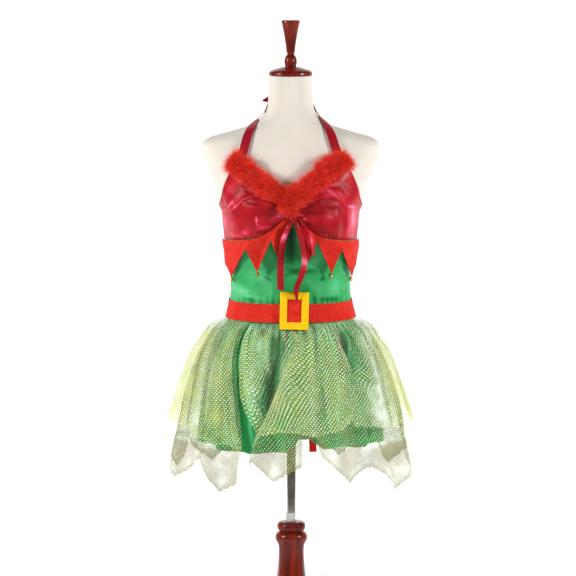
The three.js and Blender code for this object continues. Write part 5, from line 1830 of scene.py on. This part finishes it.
def laps(degrees, drop):
    """How far each place is drawn sideways and lifted where a fold laps over the next cloth."""
    shift, lift = np.zeros(degrees.shape), np.zeros(degrees.shape)
    behind = []
    for from_deg, from_drop, to_deg, to_drop, half, lap, up in LAPS:
        start, end = ends_behind(from_deg, to_deg)
        behind.append((start, from_drop, end, to_drop, half, -lap, up))
    for from_deg, from_drop, to_deg, to_drop, half, lap, up in LAPS + behind:
        along = (drop - from_drop) / (to_drop - from_drop)
        middle = blend(from_deg, to_deg, np.clip(along, -0.1, 1.1))
        t = ((degrees - middle + 180) % 360 - 180) / half
        fade = smooth(along / 0.3 + 0.35) * smooth((1.15 - along) / 0.25)
        near = np.exp(-(t**2) / 2)
        shift -= abs(lap) * 1.25 * half * t * near * fade
        lift += up * np.sign(lap) * np.tanh(1.6 * t) * near * 1.5 * fade
    return shift, lift


def skirt_heights(hem, rows):
    """Each column's heights, from under the belt down to its hem, and the share of the way down."""
    share = np.concatenate([[-1], np.linspace(0, 1, rows)])
    z = np.where(share[None, :] < 0, SKIRT_TOP_Z, blend(WAIST_Z, hem[:, None], share[None, :]))
    return share, z


def underskirt():
    columns = 380
    degrees = np.arange(columns) / columns * 360 - 180
    _, z = skirt_heights(straight_curve(UNDERSKIRT_HEM)(degrees), 58)
    degrees, z = np.broadcast_arrays(degrees[:, None], z)
    drop = np.maximum(0, WAIST_Z - z)
    extra = 2.0 * gathers(degrees, drop, 40, 1)
    extra = extra + skirt_creases(degrees, drop, mirrored_behind(UNDERSKIRT_CREASES)) - 2.0
    extra = extra * smooth(drop / 60)
    points = skirt_surface(UNDERSKIRT_ROWS, LAYER["underskirt"], degrees, z, extra)
    points = points + (crumple(points, 55, 1.3, 31) * smooth(drop / 40))[..., None] * [0.5, -1, 0]
    # Painted shade and sheen from the table and painted light and shade on the gathers under the belt; the
    # crumple adds random tone.
    gather = gathers(degrees, drop, 26, 1)
    painted_shade_and_sheen = skirt_creases(degrees, drop, mirrored_behind(SATIN_TONES, TONES_BEHIND))
    tone = 0.5 + 1.2 * painted_shade_and_sheen + 0.5 * gather
    tone = tone + 0.05 * crumple(points, 50, 3.0, 33)
    obj = cloth("underskirt_cloth", points, green_satin, thick=0.8, closed=True, flip=True, tone=tone)
    finished(obj, "underskirt")


def slit_columns(hem_rows, step):
    """Places round the net from the slit: the hem's angle and the share of the way round."""
    stops = sorted((at - SLIT["bottom"]) % 360 for at, _ in hem_rows if at > -180)
    margin = SLIT["margin"]
    stops = [at for at in stops if margin + 1 < at < 359 - margin]
    return places_through([margin, *stops, 360 - margin], step)


NET_RAGGED = 2.2


def net_layer(node, rows, hem_rows, material, seed, step, lap, painted_sheen_share):
    around = slit_columns(hem_rows, step)
    hem_degrees = (SLIT["bottom"] + around + 180) % 360 - 180
    hem = straight_curve(hem_rows)(hem_degrees)
    hem = hem + NET_RAGGED * np.random.default_rng(seed).uniform(-1, 1, len(around))
    share, z = skirt_heights(hem, 56)
    t = smooth((WAIST_Z - z) / SLIT["drop"])
    part = (around / 360)[:, None]
    beside = 1 - smooth(np.minimum(part, 1 - part) / SLIT["leans"])
    gap = blend(SLIT["gap_top"], SLIT["gap_bottom"], t)
    lean = (blend(SLIT["top"], SLIT["bottom"], t) - SLIT["bottom"]) * beside
    degrees = SLIT["bottom"] + lean + gap / 2 + part * (360 - gap)
    drop = np.maximum(0, WAIST_Z - z)
    gather = gathers(degrees, drop, 30, seed)
    extra = 2.4 * gather + skirt_creases(degrees, drop, mirrored_behind(NET_CREASES))
    extra = (extra + 1.6) * smooth(drop / 30)
    shift, lift = laps(degrees, drop)
    extra = extra + lap * lift * smooth(drop / 40)
    points = skirt_surface(rows, LAYER[node], degrees + lap * shift, z, extra)
    points = points + (crumple(points, 80, 2.4, seed) * smooth(drop / 70))[..., None] * [0.4, -1, 0]
    crowding_and_shade = skirt_creases(degrees, drop, mirrored_behind(NET_TONES, TONES_BEHIND))
    tone = 0.4 + crowding_and_shade + 0.26 * gather
    # Clearer and darker just under the belt, and a painted highlight along the hem.
    tone = tone - 0.24 * np.exp(-drop / 32) + 0.2 * smooth((share[None, :] - 0.97) / 0.02)
    below_satin = straight_curve(UNDERSKIRT_HEM)(degrees) - z
    tone = tone + 0.36 * smooth((below_satin + 8) / 6)
    tone = tone + 0.06 * crumple(points, 60, 3.0, seed + 1)
    # Where a white sheen is painted on the foil film.
    painted_sheen = skirt_creases(degrees, drop, PAINTED_SHEENS) * (0.75 + 0.12 * crumple(points, 25, 3.0, seed + 2))
    obj = cloth(f"{node}_cloth", points, material, flip=True, tone=tone, painted_sheen=painted_sheen * painted_sheen_share)
    finished(obj, node)


def nets():
    # Thread colours run from painted shade in deep valleys to pale where the layers crowd.
    threads = [srgb(44, 140, 70), srgb(160, 200, 100), srgb(214, 230, 130), srgb(230, 230, 156)]
    dots = [srgb(176, 194, 108), srgb(224, 236, 156), srgb(250, 254, 212), srgb(218, 248, 222)]
    yellow, olive = srgb(228, 228, 148), srgb(112, 104, 44)
    upper = net("net_upper_foil", threads, dots, yellow, (0.05, 0.2, 0.4, 0.62), 0.27)
    pale = [srgb(60, 150, 74), srgb(120, 172, 84), srgb(142, 136, 80), srgb(156, 150, 100)]
    lower = net("net_lower_foil", pale, dots, olive, (0.03, 0.07, 0.58, 0.74), 0.25)
    net_layer("net_lower", NET_LOWER_ROWS, NET_LOWER_HEM, lower, seed=3, step=0.8, lap=0.6, painted_sheen_share=0.3)
    net_layer("net_upper", NET_UPPER_ROWS, NET_UPPER_HEM, upper, seed=7, step=0.6, lap=1.0, painted_sheen_share=1.0)


# Making

# Each satin's colours run from painted shade in a fold's depth to a painted highlight on its crest.
RED_TONES = [
    srgb(92, 6, 12),
    srgb(150, 14, 24),
    srgb(184, 24, 38),
    srgb(216, 58, 84),
    srgb(244, 128, 158),
]
RIBBON_TONES = [
    srgb(110, 8, 18),
    srgb(142, 14, 28),
    srgb(166, 20, 38),
    srgb(190, 40, 60),
    srgb(226, 110, 130),
]
GREEN_TONES = [
    srgb(8, 44, 20),
    srgb(28, 112, 58),
    srgb(48, 162, 88),
    srgb(92, 198, 134),
    srgb(166, 232, 202),
]
red_satin = satin("satin_crimson", RED_TONES)
red_ribbon = satin("ribbon_crimson", RIBBON_TONES, 0.4)
green_satin = satin("satin_green", GREEN_TONES)
red_felt = felt("felt_red", srgb(206, 26, 18), srgb(228, 54, 38))
yellow_felt = felt("felt_yellow", srgb(250, 190, 6), srgb(255, 206, 16))
jersey_cover = jersey()
wood = mahogany()
chrome_plate = chrome()
white_plastic = plastic()
bell_gold = gold()
marabou_red = feathers()

add_camera()
add_world()
add_floor()
for row in LIGHTS:
    add_light(*row)
for side in (-1, 1):
    add_backdrop_light(f"backdrop_{side}", side)

form_torso()
form_seams()
wooden("neck_cap_turned", NECK_CAP_ROWS, (0, 0), FORM)
wooden("finial_turned", FINIAL_ROWS, (0, 0), FORM)
stand_column()
pole()
pole_collar()
for leg in range(3):
    stand_leg(leg)

bodice_front()
bodice_back()
cup("cup_left_cloth", -1, "cup_left", CUP_RIDGES_LEFT, CUP_TONES_LEFT, 12)
cup("cup_right_cloth", 1, "cup_right", CUP_RIDGES_RIGHT, CUP_TONES_RIGHT, 16)
marabou("marabou_left_strands", -1, "marabou_left", 41)
marabou("marabou_right_strands", 1, "marabou_right", 42)
straps()
neck_tail_right()
neck_tail_left()
knot("neck_knot_folds", (0, 57, 1328), (15, 10, 14), red_ribbon, "neck_knot", 1)
knot("tie_knot_folds", KNOT_AT, (18, 10, 14), red_satin, "tie_knot", 2)
tie_tail("tie_tail_left_ribbon", TIE_LEFT, 0.5, "tie_tail_left", 3, (0.32, 0.1), 0)
tie_tail("tie_tail_right_ribbon", TIE_RIGHT, -0.5, "tie_tail_right", 0, (0.52, 0.09), 1)
tie_loop()
points("points_left_felt", POINTS_LEFT, -5, "points_left")
points("points_right_felt", POINTS_RIGHT, 14, "points_right")
bells()
belt()
buckle()
buckle_patch()
knot("belt_knot_folds", BELT_KNOT_AT, (26, 16, 30), red_felt, "belt_knot", 3)
belt_tail("belt_tail_left_felt", BELT_TAIL_LEFT, "belt_tail_left")
belt_tail("belt_tail_right_felt", BELT_TAIL_RIGHT, "belt_tail_right")
underskirt()
nets()
